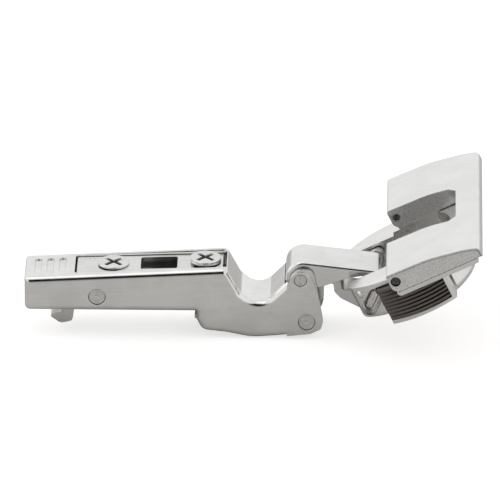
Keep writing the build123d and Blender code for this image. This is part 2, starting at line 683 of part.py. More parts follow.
# ---------------------------------------------------------------- closing springs
spring_in = OUTER_LINK_W / 2 + 0.3
spring_out = LOBE_IN - 0.3
spring_pitch = (spring_out - spring_in - 2 * SPRING_WIRE) / SPRING_TURNS
spring_r = BRACKET_PIN_R + 0.2 + SPRING_WIRE
for name, side in (("closing_spring_near", -1), ("closing_spring_far", 1)):
    start_y = side * (spring_in + SPRING_WIRE)
    with BuildPart() as closing_spring:
        with BuildLine() as coil:
            Helix(spring_pitch, spring_pitch * SPRING_TURNS, spring_r,
                  center=(ex, start_y, ez), direction=(0, side, 0))
        with BuildSketch(Plane(origin=coil.line @ 0, z_dir=coil.line % 0)) as coil_section:
            Circle(SPRING_WIRE)
        sweep(sections=coil_section.sketch, path=coil.line, is_frenet=True)
    closing_spring.part.label = name
    export_step(closing_spring.part, "parts/" + name + ".step")

# ---------------------------------------------------------------- fixing_flap
flap_low = flange_top + FLAP_LIFT


def flap_outline(inset, left, low):
    """Points of the flap's side view, drawn in by inset from its top and right."""
    return [
        (left, low),
        (left, FLAP_TOP - inset),
        (12.0, FLAP_TOP - 0.2 - inset),
        (20.6 - inset / 3, FLAP_TOP - 1.65 - inset),
        (FLAP_RIGHT - inset, FLAP_TOP - 2.75 - 0.8 * inset),
        (FLAP_RIGHT - inset, low),
    ]


with BuildPart() as flap_void:
    slab(flap_outline(FLAP_SKIN, FLAP_LEFT - 3, -1), [0, 0, 14.0, 8.0, 0.6, 0],
         FLAP_L / 2 - FLAP_END_T, plane=CUP_SIDE)
    with BuildSketch(CUP_MOUTH.offset(-2)) as notch_wall:
        with Locations((NOTCH_END + NOTCH_WALL - 20, 0)):
            Rectangle(40, NOTCH_W + 2 * NOTCH_WALL)
    extrude(notch_wall.sketch, amount=12, mode=Mode.SUBTRACT)

with BuildPart() as fixing_flap:
    slab(flap_outline(0, FLAP_LEFT, flap_low), [1.9, 0.6, 30.0, 12.0, 1.3, 0.2],
         FLAP_L / 2, plane=CUP_SIDE)
    with BuildSketch(CUP_MOUTH.offset(-2)) as notch:
        with Locations((NOTCH_END - 20, 0)):
            Rectangle(40, NOTCH_W)
        chamfer(notch.vertices().group_by(Axis.X)[-1], NOTCH_CHAMFER)
    extrude(notch.sketch, amount=12, mode=Mode.SUBTRACT)
    add(flap_void.part, mode=Mode.SUBTRACT)
    # end faces sunk inside the edge of the top skin
    for side in (-1, 1):
        with BuildSketch(CUP_SIDE.offset(-side * (FLAP_L / 2 - FLAP_END_SINK))) as end_face:
            with BuildLine():
                end_pts = flap_outline(FLAP_BORDER, FLAP_LEFT - 1, 0)
                FilletPolyline(*end_pts, radius=fitted(end_pts, [0, 0, 30.0, 12.0, 1.0, 0]),
                               close=True)
            make_face()
        extrude(end_face.sketch, amount=-side * 2, mode=Mode.SUBTRACT)
    # pin holes: sunk seats for the heads outside, shallow rims inside the cut-out
    rod(FLAP_PIN, FLAP_PIN_R + PIN_FIT, 40, plane=CUP_SIDE, mode=Mode.SUBTRACT)
    head_seat = FLAP_L / 2 - FLAP_END_SINK - 0.8
    for side in (-1, 1):
        span = sorted((side * head_seat, side * (FLAP_L / 2 + 1)))
        disc(FLAP_PIN, FLAP_PIN_HEAD_R + PIN_FIT, span[0], span[1], plane=CUP_SIDE,
             mode=Mode.SUBTRACT)
        span = sorted((side * (NOTCH_W / 2 - 1), side * (NOTCH_W / 2 + 0.15)))
        disc(FLAP_PIN, FLAP_PIN_R + 0.35, span[0], span[1], plane=CUP_SIDE,
             mode=Mode.SUBTRACT)
fixing_flap.part.label = "fixing_flap"
export_step(fixing_flap.part, "parts/fixing_flap.step")

for name, side in (("flap_pin_near", -1), ("flap_pin_far", 1)):
    span = sorted((side * (NOTCH_W / 2 + 0.45), side * (head_seat + 0.05)))
    with BuildPart() as flap_pin:
        disc(FLAP_PIN, FLAP_PIN_R, span[0], span[1], plane=CUP_SIDE)
        head = sorted((side * (head_seat + 0.02), side * (head_seat + 0.02 + FLAP_PIN_HEAD_T)))
        disc(FLAP_PIN, FLAP_PIN_HEAD_R, head[0], head[1], plane=CUP_SIDE)
    flap_pin.part.label = name
    export_step(flap_pin.part, "parts/" + name + ".step")

# ---------------------------------------------------------------- clamping jaws
for name, side in (("jaw_near", -1), ("jaw_far", 1)):
    with BuildPart() as jaw:
        with BuildSketch(CUP_MOUTH.offset(-JAW_DEPTH)) as sector:
            with Locations((JAW_CENTRE[0], side * JAW_CENTRE[1])):
                Circle(JAW_R)
            with Locations(((JAW_LEFT + JAW_RIGHT) / 2, side * (JAW_BACK + 10))):
                Rectangle(JAW_RIGHT - JAW_LEFT, 20, mode=Mode.INTERSECT)
        extrude(sector.sketch, amount=JAW_DEPTH + JAW_TOP)
        for rib in range(RIB_COUNT):
            groove_low = JAW_TOP - 1.05 - rib * RIB_PITCH
            with BuildSketch(CUP_MOUTH.offset(groove_low)) as groove:
                with Locations((JAW_CENTRE[0] - 1.0, side * JAW_CENTRE[1])):
                    Circle(JAW_R + 2)
                    Circle(JAW_R - RIB_DEPTH, mode=Mode.SUBTRACT)
                with Locations((JAW_RIGHT - 1.0 - 15, side * 20)):
                    Rectangle(30, 20, mode=Mode.INTERSECT)
            extrude(groove.sketch, amount=RIB_GROOVE, mode=Mode.SUBTRACT)
    jaw.part.label = name
    export_step(jaw.part, "parts/" + name + ".step")
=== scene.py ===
"""Looks for a concealed cup hinge: pieces with their finishes, studio and camera."""
import logging
import math
from dataclasses import dataclass
from enum import Enum
from functools import cache
from typing import Any

import bmesh
import bpy
import numpy as np
from mathutils import Matrix, Vector


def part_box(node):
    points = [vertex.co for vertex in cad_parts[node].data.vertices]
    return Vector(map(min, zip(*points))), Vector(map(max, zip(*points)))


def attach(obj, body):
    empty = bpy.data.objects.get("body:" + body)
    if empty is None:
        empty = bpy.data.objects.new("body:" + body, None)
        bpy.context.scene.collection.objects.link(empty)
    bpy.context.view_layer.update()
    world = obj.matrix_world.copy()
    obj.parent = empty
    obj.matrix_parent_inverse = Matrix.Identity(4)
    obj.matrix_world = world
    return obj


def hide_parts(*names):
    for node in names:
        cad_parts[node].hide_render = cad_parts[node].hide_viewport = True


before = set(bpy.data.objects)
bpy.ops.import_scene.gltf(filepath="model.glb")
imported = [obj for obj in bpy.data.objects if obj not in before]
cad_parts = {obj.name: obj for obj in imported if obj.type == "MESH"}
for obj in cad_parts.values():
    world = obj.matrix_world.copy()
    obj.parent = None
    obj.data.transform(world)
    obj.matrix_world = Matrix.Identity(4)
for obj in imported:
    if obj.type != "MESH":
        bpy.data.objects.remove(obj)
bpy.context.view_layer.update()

MM = 0.001
log = logging.getLogger("hinge")

Triple = tuple[float, float, float]
Pair = tuple[float, float]

ALONG = np.array([1.0, 0.0, 0.0])
ACROSS = np.array([0.0, 1.0, 0.0])
UP = np.array([0.0, 0.0, 1.0])

# The cup's own frame, in mm: t across its mouth, n out of it
CUP_TILT = math.radians(26.0)
CUP_CENTRE = np.array([65.85, 0.0, 12.4])
CUP_T = np.array([math.cos(CUP_TILT), 0.0, math.sin(CUP_TILT)])
CUP_N = np.array([-math.sin(CUP_TILT), 0.0, math.cos(CUP_TILT)])


def cup_point(t: float, y: float, n: float) -> np.ndarray:
    """Place in mm of a point given in the cup's frame: centre + t T + y Y + n N."""
    return CUP_CENTRE + t * CUP_T + y * ACROSS + n * CUP_N


def side_point(place: Pair) -> np.ndarray:
    """Place in mm, on the middle plane, of a point given as (X, Z)."""
    return np.array([place[0], 0.0, place[1]])


# ---------------------------------------------------------------- shader maths
class Sock:
    """A shader value or colour that can be used in Python arithmetic."""

    def __init__(self, sheet: "Sheet", out: Any) -> None:
        """Keep the node sheet and the output socket that carries the value, if any."""
        self.sheet = sheet
        self.out = out

    def op(self, kind: str, *values: Any) -> "Sock":
        """Add one Math node.

        Args:
            kind: Math operation name.
            values: inputs, as sockets or numbers.

        Returns:
            The node's result.
        """
        return self.sheet.add("ShaderNodeMath", {"operation": kind}, list(values))

    def __add__(self, other: Any) -> "Sock":
        """Sum of two values."""
        return self.op("ADD", self, other)

    def __radd__(self, other: Any) -> "Sock":
        """Sum of two values, reflected."""
        return self.op("ADD", other, self)

    def __sub__(self, other: Any) -> "Sock":
        """Difference of two values."""
        return self.op("SUBTRACT", self, other)

    def __rsub__(self, other: Any) -> "Sock":
        """Difference of two values, reflected."""
        return self.op("SUBTRACT", other, self)

    def __mul__(self, other: Any) -> "Sock":
        """Product of two values."""
        return self.op("MULTIPLY", self, other)

    def __rmul__(self, other: Any) -> "Sock":
        """Product of two values, reflected."""
        return self.op("MULTIPLY", other, self)

    def __truediv__(self, other: Any) -> "Sock":
        """Quotient of two values."""
        return self.op("DIVIDE", self, other)

    def __rtruediv__(self, other: Any) -> "Sock":
        """Quotient of two values, reflected."""
        return self.op("DIVIDE", other, self)

    def band(self, low: float, high: float) -> "Sock":
        """Smooth step.

        Args:
            low: value below which the step is 0.
            high: value above which it is 1.

        Returns:
            The step.
        """
        return self.sheet.add(
            "ShaderNodeMapRange",
            {"interpolation_type": "SMOOTHSTEP"},
            {"Value": self, "From Min": low, "From Max": high, "To Min": 0.0, "To Max": 1.0},
        )

    def within(self, span: Pair, soft: float) -> "Sock":
        """Mask of a stretch of values.

        Args:
            span: where the stretch starts and ends.
            soft: half the width of each of its soft ends.

        Returns:
            1 inside the stretch and 0 outside.
        """
        start, end = span
        return (self - start).band(-soft, soft) * (end - self).band(-soft, soft)

    def top(self, other: Any) -> "Sock":
        """The larger of two values."""
        return self.op("MAXIMUM", self, other)

    def sin(self) -> "Sock":
        """Sine of the value."""
        return self.op("SINE", self)

    def root(self) -> "Sock":
        """Square root of the value."""
        return self.op("SQRT", self)

    def size(self) -> "Sock":
        """Value without its sign."""
        return self.op("ABSOLUTE", self)


def hypotenuse(x: Sock, y: Sock) -> Sock:
    """Length of a vector of two parts: the root of the sum of their squares."""
    return (x * x + y * y).root()


class Sheet:
    """A node tree, filled through one method."""

    ao_samples = 8
    bevel_samples = 4
    edge_band: Pair = (0.01, 0.14)

    def __init__(self, tree: Any) -> None:
        """Empty a material's or the world's node tree."""
        self.tree = tree
        tree.nodes.clear()

    def add(self, kind: str, settings: dict[str, Any] | None = None, sockets: Any = None,
            out: int | str = 0) -> Sock:
        """Add any node.

        Args:
            kind: node type name.
            settings: properties, set first.
            sockets: values or links, by name or in order.
            out: which output to hand back.

        Returns:
            The chosen output, ready for arithmetic.
        """
        node = self.tree.nodes.new(kind)
        for key, value in (settings or {}).items():
            setattr(node, key, value)
        pairs = sockets.items() if isinstance(sockets, dict) else enumerate(sockets or [])
        for key, value in pairs:
            if isinstance(value, Sock):
                self.tree.links.new(value.out, node.inputs[key])
            else:
                node.inputs[key].default_value = value
        return Sock(self, node.outputs[out] if len(node.outputs) else None)

    def coords(self, place: Triple = (0, 0, 0), turn: Triple = (0, 0, 0),
               scale: Triple = (1, 1, 1)) -> Sock:
        """Object coordinates in millimetres, centred, turned and stretched.

        Args:
            place: centre of the pattern, mm.
            turn: rotation, radians.
            scale: stretch of each axis.

        Returns:
            The pattern's coordinates.
        """
        raw = self.add("ShaderNodeTexCoord", out="Object")
        return self.add(
            "ShaderNodeMapping", {"vector_type": "TEXTURE"},
            {"Vector": raw, "Location": tuple(v * MM for v in place), "Rotation": turn,
             "Scale": tuple(MM / s for s in scale)},
        )

    def axes(self, at: Sock) -> tuple[Sock, Sock, Sock]:
        """The three parts of a vector."""
        split = self.add("ShaderNodeSeparateXYZ", {}, [at])
        return tuple(Sock(self, out) for out in split.out.node.outputs)

    def noise(self, at: Sock, size: float, detail: float = 3.0, rough: float = 0.55) -> Sock:
        """Fractal noise.

        Args:
            at: coordinates in mm.
            size: size of the largest grain, mm.
            detail: octaves.
            rough: weight of the small octaves.

        Returns:
            Values about 0.5.
        """
        return self.add(
            "ShaderNodeTexNoise", {},
            {"Vector": at, "Scale": 1.0 / size, "Detail": detail, "Roughness": rough},
        )

    def tint(self, factor: Any, first: Any, second: Any) -> Sock:
        """Mix two colours.

        Args:
            factor: share of the second, as a socket or a number.
            first: colour at 0, as a socket or a triple.
            second: colour at 1, the same.

        Returns:
            The mixed colour.
        """
        ends = [end if isinstance(end, Sock) else (*end, 1.0) for end in (first, second)]
        return self.add("ShaderNodeMix", {"data_type": "RGBA", "clamp_factor": True},
                        {0: factor, 6: ends[0], 7: ends[1]}, out=2)

    def edges(self, radius: float) -> tuple[Sock, Sock]:
        """Find the piece's edges.

        Args:
            radius: how far from an edge its effect reaches, mm.

        Returns:
            The normal rounded over the edges, and a mask that is 1 on sharp ones.
        """
        round_normal = self.add("ShaderNodeBevel", {"samples": self.bevel_samples},
                                {"Radius": radius * MM})
        flat = self.add("ShaderNodeNewGeometry", out="Normal")
        near = self.add("ShaderNodeVectorMath", {"operation": "DOT_PRODUCT"},
                        [round_normal, flat], out="Value")
        return round_normal, (1 - near).band(*self.edge_band)

    def hollows(self, far: float) -> Sock:
        """Mask that nears 1 in corners, joints and holes.

        Args:
            far: how far away a wall may be to count, mm.

        Returns:
            How closed in each point is, 0 on open faces.
        """
        return 1 - self.add("ShaderNodeAmbientOcclusion", {"samples": self.ao_samples},
                            {"Distance": far * MM}, out="AO")

    def facing(self) -> tuple[Sock, Sock, Sock]:
        """The three parts of the piece's own normal."""
        return self.axes(self.add("ShaderNodeTexCoord", out="Normal"))

    def bump(self, height: Sock, depth: float, normal: Sock) -> Sock:
        """Bump from a height pattern.

        Args:
            height: the pattern.
            depth: its depth, mm.
            normal: the normal it starts from.

        Returns:
            The disturbed normal.
        """
        return self.add("ShaderNodeBump", {}, {"Height": height, "Distance": depth * MM,
                                               "Strength": 1.0, "Normal": normal})


# ---------------------------------------------------------------- finishes
# Linear colours: painted shade for corners, screw recesses and the face below the slot, and the metal of
# the jaws' lip
PAINTED_SHADE_BLACK = (0.020, 0.018, 0.016)
PAINTED_RECESS_SHADE = (0.050, 0.047, 0.044)
PAINTED_SLOT_SHADE = (0.030, 0.028, 0.026)
LIP_METAL = (0.80, 0.79, 0.77)

# Grain of the patterns, mm
CLOUD_SIZE = 9.0
DUST_SIZE = 3.4
WEAR_SIZE = 2.5
PIT_SIZE = 0.34
TURNING_PITCH = 0.24
RIB_PITCH = 1.15

# Values between which a mask sets in: of a pattern, or of how squarely a face looks that way
TONE_BAND = (0.38, 0.66)
DUST_BAND = (0.55, 0.80)
WEAR_BAND = (0.30, 0.62)
PIT_BAND = (0.47, 0.62)
SIDE_BAND = (0.6, 0.9)
TOP_BAND = (0.2, 0.5)
RIB_BAND = (-0.3, 0.3)

# Shares of the first pattern where two are mixed, and of the rings and the speckle on turned steel
STREAK_SHARE = 0.72
CLOUD_SHARE = 0.55
RING_SHARE = 0.22
SPECKLE_SHARE = 0.6

# Grime and wear: the tone of grime, how worn metal brightens, and what both do to roughness
GRIME_TONE = 0.72
GRIME_ROUGH = 0.08
WORN_GAIN = 1.08
WORN_LIFT = 0.03
WORN_LIMIT = 0.93
WORN_SMOOTH = 0.08

# Cast sides: the tone of pits, their roughness, and their height as a multiple of the marks'
PIT_TONE = 0.74
PIT_ROUGH = 0.10
PIT_HEIGHT = 3.0

# Painted shade in a screw's recess: softness of its border, depth and band where it darkens, all mm, and
# how far
RECESS_SOFT = 0.1
RECESS_TOP = 0.12
RECESS_BAND = (-0.08, 0.50)
RECESS_DARK = 0.93
RECESS_ROUGH = 0.25

# Painted shade below the slot, lip and ribs: softness of their borders, mm, and how they change what they
# cover
SLOT_SHADE_SOFT = 0.3
SLOT_SHADE_THIN = 0.1
SLOT_SHADE_ROUGH = 0.1
LIP_SOFT = 0.04
ROW_SOFT = 0.1
PRESSED_MARKS = 0.2


def shaded(colour: Triple, share: float) -> Triple:
    """A colour at a share of its brightness."""
    return tuple(share * value for value in colour)


class Grain(Enum):
    """Which way the marks of making run on a piece."""

    ROLLED = "streaks along the sheet"
    CAST = "speckle, all ways"
    TURNED = "rings round an axis"
    MOULDED = "fine and matt"


@dataclass
class Look:
    """What feeds a material's shader, while the steps of a finish add to it."""

    colour: Sock
    rough: Sock
    metal: Any
    height: Sock


@dataclass(frozen=True)
class Finish:
    """A procedural metal or plastic finish.

    Colours are linear, sizes in mm. `size` is the grain of the marks of making and `depth` how
    deep they are; `stretch` and `nicks` draw them out along a rolled sheet. `wear` brightens
    edges as far as `edge` reaches, and `grime` dulls patches. `painted_corner_shade` is how dark
    the shade painted into corners and joints is, `pitted` how rough the faces across the hinge
    are cast, and `recess` the radius inside which shade is painted into a screw below its face.
    `lip` gives a metal border below n and right of t in the cup's frame, `ribs` fine bars across
    X and `slot_shade` painted shade on the upper face below the slot, both between two places in X.
    """

    name: str
    grain: Grain
    colour: Triple
    shade: Triple
    rough: float
    rough_spread: float
    metallic: float = 1.0
    depth: float = 0.01
    size: float = 1.2
    centre: Triple = (0.0, 0.0, 0.0)
    turn: Triple = (0.0, 0.0, 0.0)
    stretch: Triple = (0.16, 2.4, 2.4)
    nicks: Triple = (0.5, 3.0, 3.0)
    coat: float = 0.0
    coat_rough: float = 0.12
    wear: float = 0.5
    edge: float = 0.22
    grime: float = 0.35
    # Painted shade in corners and joints: its strength, how far it reaches and the band where it sets in
    painted_corner_shade: float = 0.75
    painted_corner_shade_reach: float = 0.7
    painted_corner_shade_span: Pair = (0.30, 0.85)
    pitted: float = 0.0
    recess: float = 0.0
    slot_shade: Pair | None = None
    lip: Pair | None = None
    lip_rough: float = 0.32
    ribs: Pair | None = None
    rib_half_length: float = 3.4

    def fine_marks(self, sheet: Sheet, at: Sock) -> Sock:
        """Pattern of the marks of making.

        Args:
            sheet: the material's nodes.
            at: coordinates in mm.

        Returns:
            Height of the marks, about 0.5.
        """
        if self.grain is Grain.ROLLED:
            streaks = sheet.noise(sheet.coords(self.centre, self.turn, self.stretch), self.size)
            nicks = sheet.noise(sheet.coords(self.centre, self.turn, self.nicks), self.size / 4)
            return streaks * STREAK_SHARE + nicks * (1 - STREAK_SHARE)
        if self.grain is Grain.TURNED:
            x, y, _ = sheet.axes(at)
            grooves = (hypotenuse(x, y) * (2 * math.pi / TURNING_PITCH)).sin()
            speckle = sheet.noise(at, self.size) * SPECKLE_SHARE
            return grooves * RING_SHARE + speckle + (1 - SPECKLE_SHARE) / 2
        return sheet.noise(at, self.size, detail=5.0, rough=0.68)

    def used_metal(self, sheet: Sheet, at: Sock, clouds: Sock, edge: Sock) -> Look:
        """Plain look of the piece: two mixed tones, grime in patches, worn edges, and painted shade
        darkening corners.

        Args:
            sheet: the material's nodes.
            at: coordinates in mm.
            clouds: broad pattern that the tones follow.
            edge: mask that is 1 on sharp edges.

        Returns:
            The look that the other steps add to.
        """
        fine = self.fine_marks(sheet, at)
        mask = clouds * CLOUD_SHARE + fine * (1 - CLOUD_SHARE)
        worn = edge * self.wear * sheet.noise(at, WEAR_SIZE, detail=2.0).band(*WEAR_BAND)
        dust = sheet.noise(at, DUST_SIZE, detail=4.0, rough=0.6).band(*DUST_BAND) * self.grime
        # Painted shade: an occlusion mask darkens corners, joints and holes towards black
        corners = sheet.hollows(self.painted_corner_shade_reach).band(*self.painted_corner_shade_span) * self.painted_corner_shade
        bright = tuple(min(WORN_LIMIT, WORN_GAIN * value + WORN_LIFT) for value in self.colour)
        colour = sheet.tint(mask.band(*TONE_BAND), self.shade, self.colour)
        colour = sheet.tint(dust, colour, shaded(self.shade, GRIME_TONE))
        colour = sheet.tint(worn, colour, bright)
        # Painted shade laid over the colour in corners, joints and holes
        colour = sheet.tint(corners, colour, PAINTED_SHADE_BLACK)
        rough = (mask - 0.5) * self.rough_spread + self.rough
        rough = rough + dust * GRIME_ROUGH - worn * WORN_SMOOTH
        return Look(colour, rough, self.metallic, fine)

    def cast_sides(self, sheet: Sheet, at: Sock, look: Look) -> None:
        """Pit the faces that look across the hinge.

        Args:
            sheet: the material's nodes.
            at: coordinates in mm.
            look: the look to add to.
        """
        pits = sheet.noise(at, PIT_SIZE, rough=0.6)
        sides = sheet.facing()[1].size().band(*SIDE_BAND) * self.pitted
        tone = shaded(self.shade, PIT_TONE)
        look.colour = sheet.tint(sides * pits.band(*PIT_BAND), look.colour, tone)
        look.rough = look.rough + sides * PIT_ROUGH
        look.height = look.height + sides * pits * PIT_HEIGHT

    def paint_recess_shade(self, sheet: Sheet, at: Sock, look: Look) -> None:
        """Paint shade into a screw's cross, which lies inside a radius and below the face.

        Args:
            sheet: the material's nodes.
            at: coordinates in mm, from the middle of the face.
            look: the look to add to.
        """
        x, y, z = sheet.axes(at)
        inside = (self.recess - hypotenuse(x, y)).band(-RECESS_SOFT, RECESS_SOFT)
        sunk = inside * (-RECESS_TOP - z).band(*RECESS_BAND)
        # Painted shade: the sunk cross darkens towards near black and is rougher
        look.colour = sheet.tint(sunk * RECESS_DARK, look.colour, PAINTED_RECESS_SHADE)
        look.rough = look.rough + sunk * RECESS_ROUGH

    def paint_slot_shade(self, sheet: Sheet, clouds: Sock, look: Look) -> None:
        """Paint shade over a stretch of the upper face below the slot, as a dark, rougher film.

        Args:
            sheet: the material's nodes.
            clouds: broad pattern that thins the painted shade here and there.
            look: the look to add to.
        """
        x = sheet.axes(sheet.coords())[0]
        # Painted shade: the upper face below the slot darkens towards near black and turns a little
        # rougher
        slot_shade_mask = x.within(self.slot_shade, SLOT_SHADE_SOFT) * sheet.facing()[2].band(*TOP_BAND)
        film = slot_shade_mask * (1 - SLOT_SHADE_THIN + clouds * SLOT_SHADE_THIN)
        look.colour = sheet.tint(film, look.colour, PAINTED_SLOT_SHADE)
        look.rough = look.rough + slot_shade_mask * SLOT_SHADE_ROUGH

    def metal_lip(self, sheet: Sheet, look: Look) -> None:
        """Frame a moulded jaw with metal along its lower and right borders.

        Args:
            sheet: the material's nodes.
            look: the look to add to.
        """
        low, right = self.lip
        t, _, n = sheet.axes(sheet.coords(tuple(CUP_CENTRE), (0, -CUP_TILT, 0)))
        beside = (t - right).band(-LIP_SOFT, LIP_SOFT)
        border = (low - n).band(-LIP_SOFT, LIP_SOFT).top(beside)
        look.colour = sheet.tint(border, look.colour, LIP_METAL)
        look.rough = look.rough + border * (self.lip_rough - self.rough)
        look.metal = border

    def pressed_ribs(self, sheet: Sheet, look: Look) -> None:
        """Press a row of fine bars into the sheet.

        Args:
            sheet: the material's nodes.
            look: the look to add to.
        """
        x, y, _ = sheet.axes(sheet.coords())
        bars = (x * (2 * math.pi / RIB_PITCH)).sin().band(*RIB_BAND)
        length = (self.rib_half_length - y.size()).band(-ROW_SOFT, ROW_SOFT)
        row = x.within(self.ribs, ROW_SOFT) * length
        look.height = look.height * PRESSED_MARKS + bars * row

    def build(self) -> Any:
        """Make the material from its steps, with the marks of making as a bump.

        Returns:
            The material.
        """
        material = bpy.data.materials.new(self.name)
        material.use_nodes = True
        sheet = Sheet(material.node_tree)
        at = sheet.coords(self.centre, self.turn)
        clouds = sheet.noise(at, CLOUD_SIZE, detail=2.0)
        normal, edge = sheet.edges(self.edge)
        look = self.used_metal(sheet, at, clouds, edge)
        if self.pitted:
            self.cast_sides(sheet, at, look)
        if self.recess:
            self.paint_recess_shade(sheet, at, look)
        if self.slot_shade is not None:
            self.paint_slot_shade(sheet, clouds, look)
        if self.lip is not None:
            self.metal_lip(sheet, look)
        if self.ribs is not None:
            self.pressed_ribs(sheet, look)
        shader = sheet.add(
            "ShaderNodeBsdfPrincipled", {},
            {"Base Color": look.colour, "Roughness": look.rough, "Metallic": look.metal,
             "Coat Weight": self.coat, "Coat Roughness": self.coat_rough,
             "Normal": sheet.bump(look.height, self.depth, normal)},
        )
        sheet.add("ShaderNodeOutputMaterial", {}, {"Surface": shader})
        return material


@cache
def material_of(finish: Finish) -> Any:
    """Material of a finish, made once."""
    return finish.build()


ARM_NICKEL = Finish(
    "arm_nickel", Grain.ROLLED, (0.90, 0.90, 0.885), (0.80, 0.795, 0.78), 0.16, 0.08,
    depth=0.003, size=0.9, painted_corner_shade=0.55)
CHANNEL_NICKEL = Finish(
    "channel_nickel", Grain.ROLLED, (0.84, 0.84, 0.82), (0.75, 0.745, 0.73), 0.23, 0.10,
    depth=0.05, painted_corner_shade=0.3, ribs=(-9.4, -5.2))
LINK_NICKEL = Finish(
    "link_nickel", Grain.ROLLED, (0.88, 0.88, 0.865), (0.79, 0.785, 0.77), 0.16, 0.08,
    depth=0.003, size=0.9, turn=(0, 0.115, 0))
# Painted shade darkens the base's upper face from X 8 to 24 mm, below the slot
BASE_STEEL = Finish(
    "base_steel", Grain.ROLLED, (0.80, 0.80, 0.78), (0.66, 0.655, 0.64), 0.28, 0.15,
    depth=0.006, painted_corner_shade=0.3, slot_shade=(8.0, 24.0))
CATCH_ZINC = Finish(
    "catch_zinc", Grain.CAST, (0.82, 0.81, 0.79), (0.68, 0.67, 0.65), 0.33, 0.15,
    depth=0.008, size=0.7)
# Painted shade reaches into narrow gaps here, darkening the line under the flap's skin
FLAP_NICKEL = Finish(
    "flap_nickel", Grain.ROLLED, (0.90, 0.90, 0.89), (0.84, 0.835, 0.825), 0.28, 0.10,
    depth=0.002, size=0.8, turn=(0, -CUP_TILT, 0), grime=0.15, pitted=0.9,
    painted_corner_shade=0.9, painted_corner_shade_reach=0.6, painted_corner_shade_span=(0.07, 0.28))
CUP_NICKEL = Finish(
    "cup_nickel", Grain.CAST, (0.89, 0.885, 0.87), (0.83, 0.82, 0.805), 0.25, 0.12,
    depth=0.003, size=0.8, grime=0.2, pitted=0.15)
# Strong painted shade darkens the jaws' grooves
JAW_PLASTIC = Finish(
    "jaw_plastic", Grain.MOULDED, (0.165, 0.137, 0.120), (0.118, 0.098, 0.086), 0.42, 0.15,
    metallic=0.0, depth=0.006, size=0.5, coat=0.05, painted_corner_shade=0.95, painted_corner_shade_span=(0.22, 0.60),
    lip=(-8.95, 11.1))
RIVET_NICKEL = Finish(
    "rivet_nickel", Grain.CAST, (0.80, 0.79, 0.775), (0.72, 0.71, 0.695), 0.28, 0.12,
    depth=0.004, size=0.5, painted_corner_shade_reach=0.4)
PIN_STEEL = Finish(
    "pin_steel", Grain.CAST, (0.76, 0.75, 0.73), (0.62, 0.61, 0.59), 0.14, 0.10,
    depth=0.003, size=0.6)
DARK_PIN = Finish(
    "dark_pin_steel", Grain.CAST, (0.15, 0.145, 0.14), (0.08, 0.077, 0.075), 0.30, 0.12,
    depth=0.004, size=0.5, painted_corner_shade=0.9)
SPRING_STEEL = Finish(
    "spring_steel", Grain.ROLLED, (0.72, 0.71, 0.70), (0.55, 0.54, 0.53), 0.24, 0.10,
    depth=0.002, size=0.5)
# Both screws carry painted shade in their cross recess, out to the given radius
DEPTH_SCREW = Finish(
    "depth_screw_nickel", Grain.TURNED, (0.85, 0.85, 0.84), (0.74, 0.74, 0.73), 0.22, 0.12,
    depth=0.004, size=0.9, centre=(-0.9, 0, 9.96), recess=2.95)
SIDE_SCREW = Finish(
    "side_screw_nickel", Grain.TURNED, (0.85, 0.85, 0.84), (0.74, 0.74, 0.73), 0.22, 0.12,
    depth=0.004, size=0.9, centre=(21.0, 0, 11.36), recess=2.95)


# ---------------------------------------------------------------- surfaces
def weld(mesh: Any, sharp: float, merge: float = 1e-7, least: float = 1e-8) -> None:
    """Merge coincident points, turn the faces outwards and smooth all but sharp edges.

    Args:
        mesh: the mesh to finish.
        sharp: angle between faces, degrees, above which an edge stays sharp.
        merge: distance, metres, below which two points are one.
        least: length, metres, below which an edge is dissolved.
    """
    work = bmesh.new()
    work.from_mesh(mesh)
    bmesh.ops.remove_doubles(work, verts=work.verts, dist=merge)
    bmesh.ops.dissolve_degenerate(work, edges=work.edges, dist=least)
    bmesh.ops.recalc_face_normals(work, faces=work.faces)
    work.to_mesh(mesh)
    work.free()
    mesh.polygons.foreach_set("use_smooth", np.ones(len(mesh.polygons), bool))
    mesh.set_sharp_from_angle(angle=math.radians(sharp))


def skin(name: str, points: np.ndarray, sharp: float = 32.0) -> Any:
    """Object whose surface passes through a grid of points, closed round its columns.

    Args:
        name: the object's name.
        points: rows x columns x 3, mm; each row is a ring.
        sharp: angle, degrees, above which an edge stays sharp.

    Returns:
        The object, in metres.
    """
    rows, columns, _ = points.shape
    low = np.arange(rows - 1)[:, None] * columns
    left = np.arange(columns)[None, :]
    right = (left + 1) % columns
    faces = np.stack([low + left, low + right, low + columns + right, low + columns + left], axis=-1)
    mesh = bpy.data.meshes.new(name)
    mesh.from_pydata((points.reshape(-1, 3) * MM).tolist(), [], faces.reshape(-1, 4).tolist())
    weld(mesh, sharp)
    return put(name, mesh)


def put(name: str, data: Any) -> Any:
    """Put new data into the scene as an object.

    Args:
        name: the object's name.
        data: its mesh, light or camera.

    Returns:
        The object.
    """
    obj = bpy.data.objects.new(name, data)
    bpy.context.scene.collection.objects.link(obj)
    return obj


def unit(vectors: np.ndarray) -> np.ndarray:
    """Vectors along the last axis, each divided by its length."""
    return vectors / np.linalg.norm(vectors, axis=-1, keepdims=True)


def circle(columns: int) -> np.ndarray:
    """Even angles once round, without the last."""
    return np.linspace(0, 2 * np.pi, columns, endpoint=False)


def rings(radius: np.ndarray, height: np.ndarray, centre: np.ndarray, axis: np.ndarray,
          side: np.ndarray, columns: int) -> np.ndarray:
    """Points of a turned shape: centre + h axis + r (cos a side + sin a axis x side).

    Args:
        radius: rows, or rows x columns where it changes round the axis.
        height: the same for the height.
        centre: foot of the axis, mm.
        axis: direction of the axis.
        side: direction where the angle a is 0.
        columns: points round the axis.

    Returns:
        Rows x columns x 3 points.
    """
    angle = circle(columns)
    radius = np.broadcast_to(np.reshape(radius, (len(radius), -1)), (len(radius), columns))
    height = np.broadcast_to(np.reshape(height, (len(height), -1)), (len(height), columns))
    spoke = np.cos(angle)[:, None] * side + np.sin(angle)[:, None] * np.cross(axis, side)
    return centre + height[..., None] * axis + radius[..., None] * spoke


